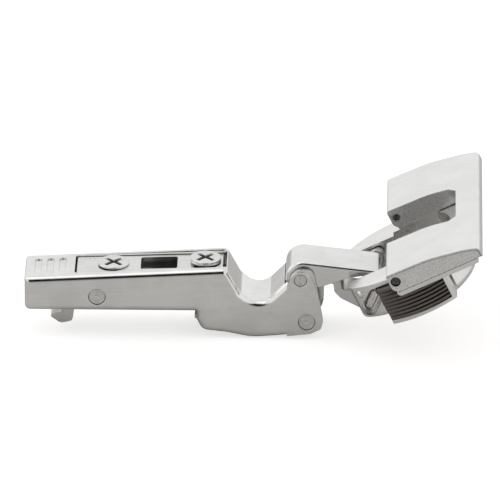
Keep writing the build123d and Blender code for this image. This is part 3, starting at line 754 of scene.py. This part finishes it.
def tube(path: np.ndarray, radius: float, flat: np.ndarray, columns: int,
         cap: int = 6) -> np.ndarray:
    """Points of a round wire: path + r (cos a u + sin a w), u and w square to the path.

    The ends are domed: r falls as a quarter circle over the last radius of the path.

    Args:
        path: points along the wire, mm.
        radius: of the wire, mm.
        flat: a direction the path never runs along.
        columns: points round the wire.
        cap: rings on each dome.

    Returns:
        Rows x columns x 3 points.
    """
    along = unit(np.gradient(path, axis=0))
    dome = np.linspace(0, np.pi / 2, cap)
    start = path[0] - along[0] * radius * np.cos(dome)[:, None]
    end = path[-1] + along[-1] * radius * np.cos(dome[::-1])[:, None]
    centre = np.concatenate([start, path, end])
    along = np.concatenate([np.repeat(along[:1], cap, 0), along, np.repeat(along[-1:], cap, 0)])
    size = np.concatenate([np.sin(dome), np.ones(len(path)), np.sin(dome[::-1])]) * radius
    first = unit(np.cross(along, flat))
    second = np.cross(along, first)
    angle = circle(columns)
    ring = np.cos(angle)[None, :, None] * first[:, None] + np.sin(angle)[None, :, None] * second[:, None]
    return centre[:, None] + size[:, None, None] * ring


def rounded_path(corners: np.ndarray, bend: float, steps: int) -> np.ndarray:
    """Path through corners, each turned by an arc: (1-s)^2 p + 2 s (1-s) c + s^2 q.

    Args:
        corners: corner points, mm.
        bend: distance before and after a corner where its arc starts and ends, mm.
        steps: points on each arc.

    Returns:
        Points of the path.
    """
    inner = corners[1:-1]
    begin = inner + bend * unit(corners[:-2] - inner)
    finish = inner + bend * unit(corners[2:] - inner)
    s = np.linspace(0, 1, steps)[None, :, None]
    arcs = (1 - s) ** 2 * begin[:, None] + 2 * s * (1 - s) * inner[:, None] + s ** 2 * finish[:, None]
    return np.concatenate([corners[:1], arcs.reshape(-1, 3), corners[-1:]])


def oval(angle: np.ndarray, width: float, height: float, power: float = 0.3) -> tuple[np.ndarray, ...]:
    """Round-edged flat section: half width sgn(cos a) |cos a|^p, half height the same with sin.

    Args:
        angle: angles round the section.
        width: across it, mm.
        height: over it, mm.
        power: the lower, the squarer.

    Returns:
        Places across and over the section.
    """
    return tuple(np.sign(turn) * np.abs(turn) ** power * side / 2
                 for turn, side in ((np.cos(angle), width), (np.sin(angle), height)))


def settle(obj: Any, finish: Finish, body: str, slot: str, *nodes: str) -> None:
    """Give a new piece its material and its place in the frame.

    Args:
        obj: the piece.
        finish: its finish.
        body: the body it rides on.
        slot: not used.
        nodes: the CAD nodes that it stands for, if any.
    """
    obj.data.materials.clear()
    obj.data.materials.append(material_of(finish))
    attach(obj, body)
    if nodes:
        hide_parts(*nodes)
    log.info("%s: %d faces, %s, on %s", obj.name, len(obj.data.polygons), finish.name, body)


def dress(node: str, finish: Finish) -> None:
    """Give a carried-over CAD node its finish.

    Args:
        node: the node's name.
        finish: its finish.
    """
    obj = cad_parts[node]
    obj.data.materials.clear()
    obj.data.materials.append(material_of(finish))
    log.info("%s: carried over, %s", node, finish.name)


# ---------------------------------------------------------------- turned pins
@dataclass
class Pin:
    """A turned pin across the hinge, with a spun head at one end or both.

    `dimple` is the centre mark's depth, mm, and its width as a share of the face. `ring` is
    the tool mark's depth, mm, and its place and width as shares. `rim` is how far the face's
    border falls, mm, and the share of the radius where it starts.
    """

    name: str
    node: str
    body: str
    centre: np.ndarray
    reach: Pair
    shank: float
    head: float
    head_height: float
    heads: tuple[bool, bool] = (True, True)
    collars: tuple[Triple, ...] = ()
    dimple: Pair = (0.16, 0.20)
    ring: Triple = (0.09, 0.62, 0.07)
    rim: Pair = (0.14, 0.84)
    finish: Finish = RIVET_NICKEL
    face_rows: int = 26
    columns: int = 72

    def head_face(self, radius: np.ndarray, size: float) -> np.ndarray:
        """Depth of a head's face below its highest point at each radius.

        The sum of a centre dimple exp(-(r/w)^4), a ring exp(-((r-c)/w)^2) and a rim that
        falls with the square of the distance past its start.

        Args:
            radius: distances from the axis, mm.
            size: radius of the face, mm.

        Returns:
            Depths, mm.
        """
        deep, wide = self.dimple
        mark, place, spread = self.ring
        fall, start = self.rim
        dimple = deep * np.exp(-((radius / (wide * size)) ** 4))
        ring = mark * np.exp(-(((radius - place * size) / (spread * size)) ** 2))
        return dimple + ring + fall * np.clip((radius / size - start) / (1 - start), 0, 1) ** 2

    def end(self, place: float, inward: float, headed: bool) -> tuple[np.ndarray, np.ndarray]:
        """Half profile of one end, from the axis outwards.

        Args:
            place: Y of the end, mm.
            inward: +1 or -1, towards the pin's middle.
            headed: whether it carries a head.

        Returns:
            Radii and Y values.
        """
        size = self.head if headed else self.shank
        radius = np.linspace(0, size, self.face_rows)
        y = place + inward * self.head_face(radius, size)
        if not headed:
            return radius, y
        step = np.array([self.head, self.shank])
        return np.append(radius, step), np.append(y, np.full(2, place + inward * self.head_height))

    def build(self) -> None:
        """Turn the profile (radius, y) about the pin's axis and put it in the hinge."""
        low_r, low_y = self.end(self.reach[0], 1, self.heads[0])
        high_r, high_y = self.end(self.reach[1], -1, self.heads[1])
        middle = [(r, y) for radius, start, stop in self.collars
                  for r, y in ((self.shank, start), (radius, start), (radius, stop), (self.shank, stop))]
        band = np.array(middle).reshape(-1, 2)
        radius = np.concatenate([low_r, band[:, 0], high_r[::-1]])
        height = np.concatenate([low_y, band[:, 1], high_y[::-1]])
        points = rings(radius, height, self.centre * (1 - ACROSS), ACROSS, ALONG, self.columns)
        settle(skin(self.name, points), self.finish, self.body, "pin_steel", self.node)


# ---------------------------------------------------------------- adjusting screws
@dataclass(frozen=True)
class Thread:
    """Thread on one of a screw's steps: the step's index, the pitch and the depth, mm.

    Its wave is steepened and lowered before it is clipped, which leaves flat crests and roots.
    """

    step: int
    pitch: float
    depth: float
    steep: float = 1.6
    lower: float = 0.3


@dataclass
class Screw:
    """A cross-headed adjusting screw with a turned profile below its head.

    Each step is a radius with the Z where it starts and stops, mm. `cross` is the recess's
    length, width and depth, and `cross_wall` how far outside its width each wall starts and
    how wide the wall is. `scroll` is the depth of the spiral cut into the foot, `scroll_rim`
    and `scroll_eye` the shares of the foot's radius where it sets in from outside and inside,
    and `scroll_steep` makes its wave steeper before it is clipped.
    """

    name: str
    node: str
    body: str
    x: float
    head: float
    head_height: float
    steps: tuple[Triple, ...]
    finish: Finish
    thread: Thread | None = None
    scroll: float = 0.0
    scroll_pitch: float = 1.1
    scroll_rim: float = 0.04
    scroll_eye: Pair = (0.24, 0.64)
    scroll_steep: float = 3.0
    cross: Triple = (5.6, 1.15, 0.75)
    cross_wall: Pair = (0.06, 0.16)
    cross_ramp: float = 0.9
    crown: float = 0.03
    corner: float = 0.18
    sharp: float = 28.0
    head_rows: int = 56
    corner_rows: int = 5
    thread_rows: int = 90
    scroll_rows: int = 40
    columns: int = 288

    def arm(self, along: np.ndarray, over: np.ndarray) -> np.ndarray:
        """One arm of the cross: a ramp in (half width - |v|) times the root of one in |u|.

        Args:
            along: places u along the arm, mm.
            over: places v across it, mm.

        Returns:
            0 outside the arm and 1 at its floor.
        """
        length, width, _ = self.cross
        outside, wide = self.cross_wall
        walls = np.clip((width / 2 + outside - np.abs(over)) / wide, 0, 1)
        ends = np.clip((length / 2 - np.abs(along)) / self.cross_ramp, 0, 1)
        return walls * np.sqrt(ends)

    def recess(self, radius: np.ndarray, angle: np.ndarray) -> np.ndarray:
        """Depth of the cross recess: the larger of two arms, at 45 degrees to the hinge's axes.

        Args:
            radius: column of distances from the axis, mm.
            angle: row of angles, radians.

        Returns:
            Depths over the grid, mm.
        """
        u = radius * np.cos(angle - np.pi / 4)
        v = radius * np.sin(angle - np.pi / 4)
        return self.cross[2] * np.maximum(self.arm(u, v), self.arm(v, u))

    def face(self, top: float, angle: np.ndarray) -> tuple[np.ndarray, np.ndarray]:
        """Head's face, falling with the square of the radius, then its rounded corner and side.

        Args:
            top: Z of the face, mm.
            angle: row of angles, radians.

        Returns:
            Radii and heights over the grid.
        """
        flat = self.head - self.corner
        radius = np.linspace(0, flat, self.head_rows)[:, None]
        height = top - self.crown * (radius / self.head) ** 2 - self.recess(radius, angle)
        turn = np.linspace(0, np.pi / 2, self.corner_rows)[:, None] + 0 * angle
        fall = top - self.crown - self.corner
        radii = [radius + 0 * angle, flat + self.corner * np.sin(turn), self.head + 0 * angle]
        heights = [height, fall + self.corner * np.cos(turn), top - self.head_height + 0 * angle]
        return np.concatenate(radii), np.concatenate(heights)

    def step(self, index: int, angle: np.ndarray) -> tuple[np.ndarray, np.ndarray]:
        """One step, whose thread is a triangle wave in (z / pitch + turns), clipped flat.

        Args:
            index: which step.
            angle: row of angles, radians.

        Returns:
            Radii and heights over the grid.
        """
        size, start, stop = self.steps[index]
        cut = self.thread is not None and self.thread.step == index
        z = np.linspace(start, stop, self.thread_rows if cut else 2)[:, None] + 0 * angle
        if not cut:
            return np.full_like(z, size), z
        wave = np.abs(2 * np.mod(z / self.thread.pitch + angle / (2 * np.pi), 1) - 1)
        groove = np.clip(self.thread.steep * wave - self.thread.lower, 0, 1)
        return size - self.thread.depth * groove, z

    def foot(self, bottom: float, rim: np.ndarray, angle: np.ndarray) -> tuple[np.ndarray, np.ndarray]:
        """Foot, drawn in to the axis, its scroll a triangle wave in (r / pitch - turns).

        Args:
            bottom: Z of the foot, mm.
            rim: row of radii at its border, mm.
            angle: row of angles, radians.

        Returns:
            Radii and heights over the grid.
        """
        share = np.linspace(1, 0, self.scroll_rows if self.scroll else 2)[:, None]
        radius = rim * share
        spiral = np.mod(radius / self.scroll_pitch - angle / (2 * np.pi), 1)
        eye, full = self.scroll_eye
        inside = np.clip((1 - share) / self.scroll_rim, 0, 1) * np.clip((share - eye) / (full - eye), 0, 1)
        wall = np.clip(self.scroll_steep * np.abs(2 * spiral - 1) - 1, 0, 1)
        return radius, bottom + self.scroll * inside * wall

    def build(self) -> None:
        """Build the head, the steps and the foot as one surface."""
        low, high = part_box(self.node)
        top, bottom = high[2] / MM, low[2] / MM
        angle = circle(self.columns)[None, :]
        grids = [self.face(top, angle)]
        grids += [self.step(index, angle) for index in range(len(self.steps))]
        grids.append(self.foot(bottom, grids[-1][0][-1:], angle))
        radius, height = (np.concatenate(part) for part in zip(*grids))
        points = rings(radius, height, self.x * ALONG, UP, ALONG, self.columns)
        screw = skin(self.name, points, self.sharp)
        settle(screw, self.finish, self.body, "screw_steel", self.node)


# ---------------------------------------------------------------- sub-assemblies
@dataclass
class Base:
    """Clip base with its sprung catch, and the base channel with the depth screw."""

    leaf_width: float = 3.9
    leaf_height: float = 0.33
    leaf_line: tuple[Pair, ...] = ((-1.7, 1.25), (-7.9, 1.25), (-8.9, 2.2), (-9.35, 2.85))
    leaf_bend: float = 0.45
    bend_rows: int = 8
    screw_x: float = -0.9
    screw_head: float = 3.75
    screw_head_height: float = 0.5
    screw_steps: tuple[Triple, ...] = ((2.9, 9.46, 8.04), (3.6, 8.04, 6.35))
    scroll: float = 0.5

    def leaf(self, columns: int = 24) -> None:
        """Bend the catch's leaf spring: a flat oval section carried along its side line.

        Args:
            columns: points round the section.
        """
        corners = np.array([side_point(place) for place in self.leaf_line])
        path = rounded_path(corners, self.leaf_bend, self.bend_rows)
        square = np.cross(unit(np.gradient(path, axis=0)), ACROSS)
        flat, thick = oval(circle(columns), self.leaf_width, self.leaf_height)
        body = path[:, None] + (flat[None, :, None] * ACROSS + thick[None, :, None] * square[:, None])
        caps = [np.repeat(end[None, None], columns, 1) for end in (path[0], path[-1])]
        settle(skin("catch_leaf_spring", np.concatenate([caps[0], body, caps[1]])), SPRING_STEEL,
               "clip_base", "spring_steel", "lever_spring")

    def build(self) -> None:
        """Dress the sheet pieces and build the leaf spring and the depth screw."""
        dress("clip_base", BASE_STEEL)
        dress("clip_pin", PIN_STEEL)
        dress("clip_lever", CATCH_ZINC)
        dress("base_channel", CHANNEL_NICKEL)
        self.leaf()
        Screw("depth_adjusting_screw", "depth_screw", "depth_screw", self.screw_x,
              self.screw_head, self.screw_head_height, self.screw_steps, DEPTH_SCREW,
              scroll=self.scroll).build()


@dataclass
class Arm:
    """Folded arm with its rivets and the side screw."""

    rear: Pair = (-4.7, 3.8)
    upper: Pair = (43.7, 8.6)
    lower: Pair = (45.2, -2.4)
    head: float = 2.0
    head_height: float = 0.35
    shank: float = 1.5
    reach: float = 7.1
    upper_reach: float = 7.55
    collar: Triple = (2.4, 5.05, 6.05)
    screw_x: float = 21.0
    screw_head: float = 3.7
    screw_head_height: float = 0.9
    screw_steps: tuple[Triple, ...] = ((2.4, 10.46, 6.0), (1.2, 6.0, 4.9), (2.1, 4.9, 4.1))
    screw_thread: Thread = Thread(step=0, pitch=0.8, depth=0.35)

    def rivets(self) -> None:
        """Turn the two headed rivets and the upper link pin, which is spun flush."""
        collar, inner, outer = self.collar
        both = (-self.reach, self.reach)
        Pin("rear_arm_rivet", "rear_rivet", "arm", side_point(self.rear), both, self.shank,
            self.head, self.head_height,
            collars=((collar, -outer, -inner), (collar, inner, outer))).build()
        Pin("lower_arm_rivet", "lower_link_pin", "arm", side_point(self.lower), both,
            self.shank, self.head, self.head_height).build()
        Pin("upper_arm_rivet", "upper_link_pin", "arm", side_point(self.upper),
            (-self.upper_reach, self.upper_reach), self.shank, self.shank, self.head_height,
            heads=(False, False)).build()

    def build(self) -> None:
        """Dress the arm and build its rivets and the side screw."""
        dress("hinge_arm", ARM_NICKEL)
        self.rivets()
        Screw("side_adjusting_screw", "side_screw", "side_screw", self.screw_x,
              self.screw_head, self.screw_head_height, self.screw_steps, SIDE_SCREW,
              thread=self.screw_thread).build()


@dataclass
class Linkage:
    """The two links, the U-shaped pin and the pair of closing springs."""

    upper: Pair = (61.8, 8.3)
    lower: Pair = (60.0, 3.8)
    pin: float = 1.1
    bridge_y: float = -11.1
    leg_end: float = 11.4
    bend: float = 1.3
    coil: float = 1.75
    wire: float = 0.42
    turns: float = 3.0
    coil_y: Pair = (6.55, 8.75)
    leg: Pair = (1.6, 0.2)
    bend_rows: int = 12
    pin_columns: int = 32
    coil_rows: int = 26
    leg_rows: int = 6
    wire_columns: int = 14

    def bracket_pin(self) -> None:
        """Bend the U-shaped pin: a round wire with domed ends along a line of four corners."""
        end = self.leg_end - self.pin
        corners = np.array([side_point(place) + y * ACROSS for place, y in (
            (self.upper, end), (self.upper, self.bridge_y), (self.lower, self.bridge_y),
            (self.lower, end))])
        flat = unit(np.cross(corners[1] - corners[0], corners[2] - corners[1]))
        path = rounded_path(corners, self.bend, self.bend_rows)
        points = tube(path, self.pin, flat, self.pin_columns)
        settle(skin("u_shaped_pin", points), PIN_STEEL, "cup", "pin_steel", "link_bracket_pin")

    def spring(self, name: str, node: str, side: int) -> None:
        """Coil one closing spring, with a short straight leg at its inner end.

        The wire's place is axis + R (cos a, sin a), y rising with a, and the leg runs on
        along the coil's tangent.

        Args:
            name: the piece's name.
            node: the CAD node it stands for.
            side: -1 near, +1 far.
        """
        a = np.linspace(0, 2 * np.pi * self.turns, int(self.coil_rows * self.turns))
        y = side * np.linspace(*self.coil_y, len(a))
        spin = -np.pi / 2 - a
        round_axis = np.stack([self.coil * np.cos(spin), y, self.coil * np.sin(spin)], axis=1)
        path = side_point(self.upper) + round_axis
        tangent = unit(np.array([-np.sin(spin[0]), 0, np.cos(spin[0])]))
        leg = path[0] + tangent * np.linspace(*self.leg, self.leg_rows)[:, None]
        points = tube(np.concatenate([leg, path]), self.wire, ACROSS, self.wire_columns)
        settle(skin(name, points), SPRING_STEEL, "cup", "spring_steel", node)

    def build(self) -> None:
        """Dress the links and build the pin and the springs."""
        dress("outer_link", LINK_NICKEL)
        dress("inner_link", CATCH_ZINC)
        self.bracket_pin()
        self.spring("closing_coil_near", "closing_spring_near", -1)
        self.spring("closing_coil_far", "closing_spring_far", 1)


@dataclass
class Boss:
    """The cup with its flap, the flap's pins and the two clamping jaws."""

    flap_pin: Pair = (2.8, 4.55)
    pin_reach: Pair = (9.92, 27.86)
    pin_shank: float = 0.8
    pin_head: float = 1.15
    pin_head_height: float = 0.33
    pin_dimple: Pair = (0.30, 0.62)
    lobe: float = 16.0
    pip: Pair = (-9.3, -0.9)
    pip_radius: float = 1.0
    pip_height: float = 0.5
    pip_root: float = 0.25
    pip_sink: float = 0.02
    pip_rows: int = 14
    pip_columns: int = 40

    def flap_hinge_pin(self, name: str, node: str, side: int) -> None:
        """Turn one of the flap's pins, with its head on the outside.

        Args:
            name: the piece's name.
            node: the CAD node it stands for.
            side: -1 near, +1 far.
        """
        centre = cup_point(self.flap_pin[0], 0, self.flap_pin[1])
        ends = tuple(sorted(side * y for y in self.pin_reach))
        Pin(name, node, "cup", centre, ends, self.pin_shank, self.pin_head,
            self.pin_head_height, heads=(side < 0, side > 0), dimple=self.pin_dimple,
            finish=DARK_PIN).build()

    def lobe_pip(self, name: str, side: int) -> None:
        """Raise a low round pip on a lobe: height h (1 - (r/R)^2) over the wall.

        Args:
            name: the piece's name.
            side: -1 near, +1 far.
        """
        t, n = self.pip
        y = math.sqrt(self.lobe ** 2 - t ** 2)
        out = (t * CUP_T + side * y * ACROSS) / self.lobe
        radius = self.pip_radius * np.linspace(0, 1, self.pip_rows)
        height = self.pip_height * (1 - (radius / self.pip_radius) ** 2)
        base = cup_point(t, side * y, n) - self.pip_sink * out
        profile = np.append(radius, 0.0), np.append(height, -self.pip_root)
        points = rings(*profile, base, out, CUP_N, self.pip_columns)
        settle(skin(name, points), CUP_NICKEL, "cup", "cup_zinc")

    def build(self) -> None:
        """Dress the castings and the jaws, turn the flap's pins and raise the pips."""
        dress("cup_body", CUP_NICKEL)
        dress("fixing_flap", FLAP_NICKEL)
        dress("jaw_near", JAW_PLASTIC)
        dress("jaw_far", JAW_PLASTIC)
        self.flap_hinge_pin("flap_hinge_pin_near", "flap_pin_near", -1)
        self.flap_hinge_pin("flap_hinge_pin_far", "flap_pin_far", 1)
        self.lobe_pip("lobe_pip_near", -1)
        self.lobe_pip("lobe_pip_far", 1)


# ---------------------------------------------------------------- studio
def looking(place: Vector, ahead: Vector) -> Matrix:
    """Matrix of a lamp or a camera.

    Args:
        place: where it stands, metres.
        ahead: the direction it looks in.

    Returns:
        The matrix.
    """
    return Matrix.Translation(place) @ ahead.to_track_quat("-Z", "Y").to_matrix().to_4x4()


@dataclass(frozen=True)
class Lamp:
    """A square soft light: its name, place and edge in metres, and its power in watts."""

    name: str
    place: Triple
    size: float
    watts: float

    def hang(self, target: Triple) -> None:
        """Hang the light.

        Args:
            target: the point it faces, metres.
        """
        data = bpy.data.lights.new(self.name, "AREA")
        data.size = self.size
        data.energy = self.watts
        ahead = Vector(target) - Vector(self.place)
        put(self.name, data).matrix_world = looking(Vector(self.place), ahead)


@dataclass
class Studio:
    """Pale floor, soft lights, and a sky that metal reflects.

    The sky's levels are strengths. `flag_width` is in the sine of the bearing from the side,
    `flag_top` and `flag_foot` in the sine of the elevation, each from soft start to full.
    `zenith_guard` keeps the bearing's divisor above nought straight overhead.
    """

    floor_z: float = -6.75 * MM
    floor_size: float = 3.0
    paper: Triple = (0.60, 0.59, 0.575)
    fibre_size: float = 0.8
    fibre_band: Pair = (0.3, 0.7)
    fibre_tone: float = 0.985
    glow: float = 0.66
    sky_top: float = 0.80
    sky_side: float = 0.88
    sky_low: float = 0.42
    flag_width: Pair = (0.84, 0.94)
    flag_top: Pair = (0.87, 0.97)
    flag_foot: Pair = (0.24, 0.44)
    zenith_guard: float = 0.001
    lamps: tuple[Lamp, ...] = (Lamp("softbox_over", (-0.15, -0.10, 0.90), 0.7, 0.6),
                               Lamp("softbox_left", (-0.75, 0.15, 0.45), 0.5, 0.24))
    lit: Triple = (0.032, 0, 0.01)

    def paper_material(self) -> Any:
        """Floor's paper: glowing white to the eye, and open to it from below.

        Returns:
            The material.
        """
        material = bpy.data.materials.new("studio_paper")
        material.use_nodes = True
        sheet = Sheet(material.node_tree)
        seen = sheet.add("ShaderNodeLightPath", out="Is Camera Ray")
        fibre = sheet.noise(sheet.coords(), self.fibre_size).band(*self.fibre_band)
        tone = sheet.tint(fibre, shaded(self.paper, self.fibre_tone), self.paper)
        paper = sheet.add("ShaderNodeBsdfDiffuse", {}, {"Color": tone})
        light = sheet.add("ShaderNodeEmission", {}, {"Color": (1, 1, 1, 1), "Strength": seen * self.glow})
        both = sheet.add("ShaderNodeAddShader", {}, [paper, light])
        below = sheet.add("ShaderNodeNewGeometry", out="Backfacing") * seen
        open_side = sheet.add("ShaderNodeBsdfTransparent")
        shown = sheet.add("ShaderNodeMixShader", {}, [below, both, open_side])
        sheet.add("ShaderNodeOutputMaterial", {}, {"Surface": shown})
        return material

    def floor(self) -> None:
        """Lay the floor: one square sheet below the hinge."""
        corners = np.array([[-1, -1, 0], [1, -1, 0], [1, 1, 0], [-1, 1, 0]], float) * self.floor_size / 2
        corners[:, 2] = self.floor_z
        mesh = bpy.data.meshes.new("studio_floor")
        mesh.from_pydata(corners.tolist(), [], [[0, 1, 2, 3]])
        floor = put("studio_floor", mesh)
        mesh.materials.append(self.paper_material())

    def sky(self) -> None:
        """Paint the sky: soft white all round, with a black flag hung high in front.

        The flag spans two heights and the front third of the circle. Below it the front sky
        is grey. The sky is white to the eye.
        """
        world = bpy.data.worlds.new("studio_sky")
        bpy.context.scene.world = world
        world.use_nodes = True
        sheet = Sheet(world.node_tree)
        x, y, z = sheet.axes(sheet.add("ShaderNodeTexCoord", out="Generated"))
        front = (0 - y / (hypotenuse(x, y) + self.zenith_guard)).band(*self.flag_width)
        high = z.band(*self.flag_top)
        under = 1 - z.band(*self.flag_foot)
        level = self.sky_side + high * (self.sky_top - self.sky_side)
        hung = front * (1 - high)
        level = level * (1 - hung) + hung * under * self.sky_low
        seen = sheet.add("ShaderNodeLightPath", out="Is Camera Ray")
        level = seen + (1 - seen) * level
        sky = sheet.add("ShaderNodeBackground", {}, {"Color": (1, 1, 1, 1), "Strength": level})
        sheet.add("ShaderNodeOutputWorld", {}, {"Surface": sky})

    def build(self) -> None:
        """Lay the floor, paint the sky and hang the lights."""
        self.floor()
        self.sky()
        for lamp in self.lamps:
            lamp.hang(self.lit)


@dataclass
class Eye:
    """The camera: a long lens, a little above the hinge. Angles are in degrees."""

    aim: Triple = (31.57 * MM, 0.0, 13.14 * MM)
    elevation: float = 23.8
    azimuth: float = 1.17
    distance: float = 2.14
    pixels_per_mm: float = 4.2
    film: float = 36.0
    frame_width: int = 500
    sight: Pair = (0.1, 20.0)

    def build(self) -> None:
        """Place the camera on its sphere about the aim point and set the lens."""
        data = bpy.data.cameras.new("eye")
        data.sensor_width = self.film
        data.lens = self.pixels_per_mm / MM * self.distance / self.frame_width * self.film
        data.clip_start, data.clip_end = self.sight
        el, az = math.radians(self.elevation), math.radians(self.azimuth)
        ahead = Vector((-math.sin(az) * math.cos(el), math.cos(az) * math.cos(el), -math.sin(el)))
        obj = put("eye", data)
        obj.matrix_world = looking(Vector(self.aim) - ahead * self.distance, ahead)
        bpy.context.scene.camera = obj


def main() -> None:
    """Build the sub-assemblies in order, then the studio and the camera."""
    logging.basicConfig(level=logging.INFO, format="%(message)s")
    for part in (Base(), Arm(), Linkage(), Boss(), Studio(), Eye()):
        part.build()
        log.info("built %s", type(part).__name__)
    bpy.context.scene.view_settings.view_transform = "Standard"


if __name__ == "__main__":
    main()
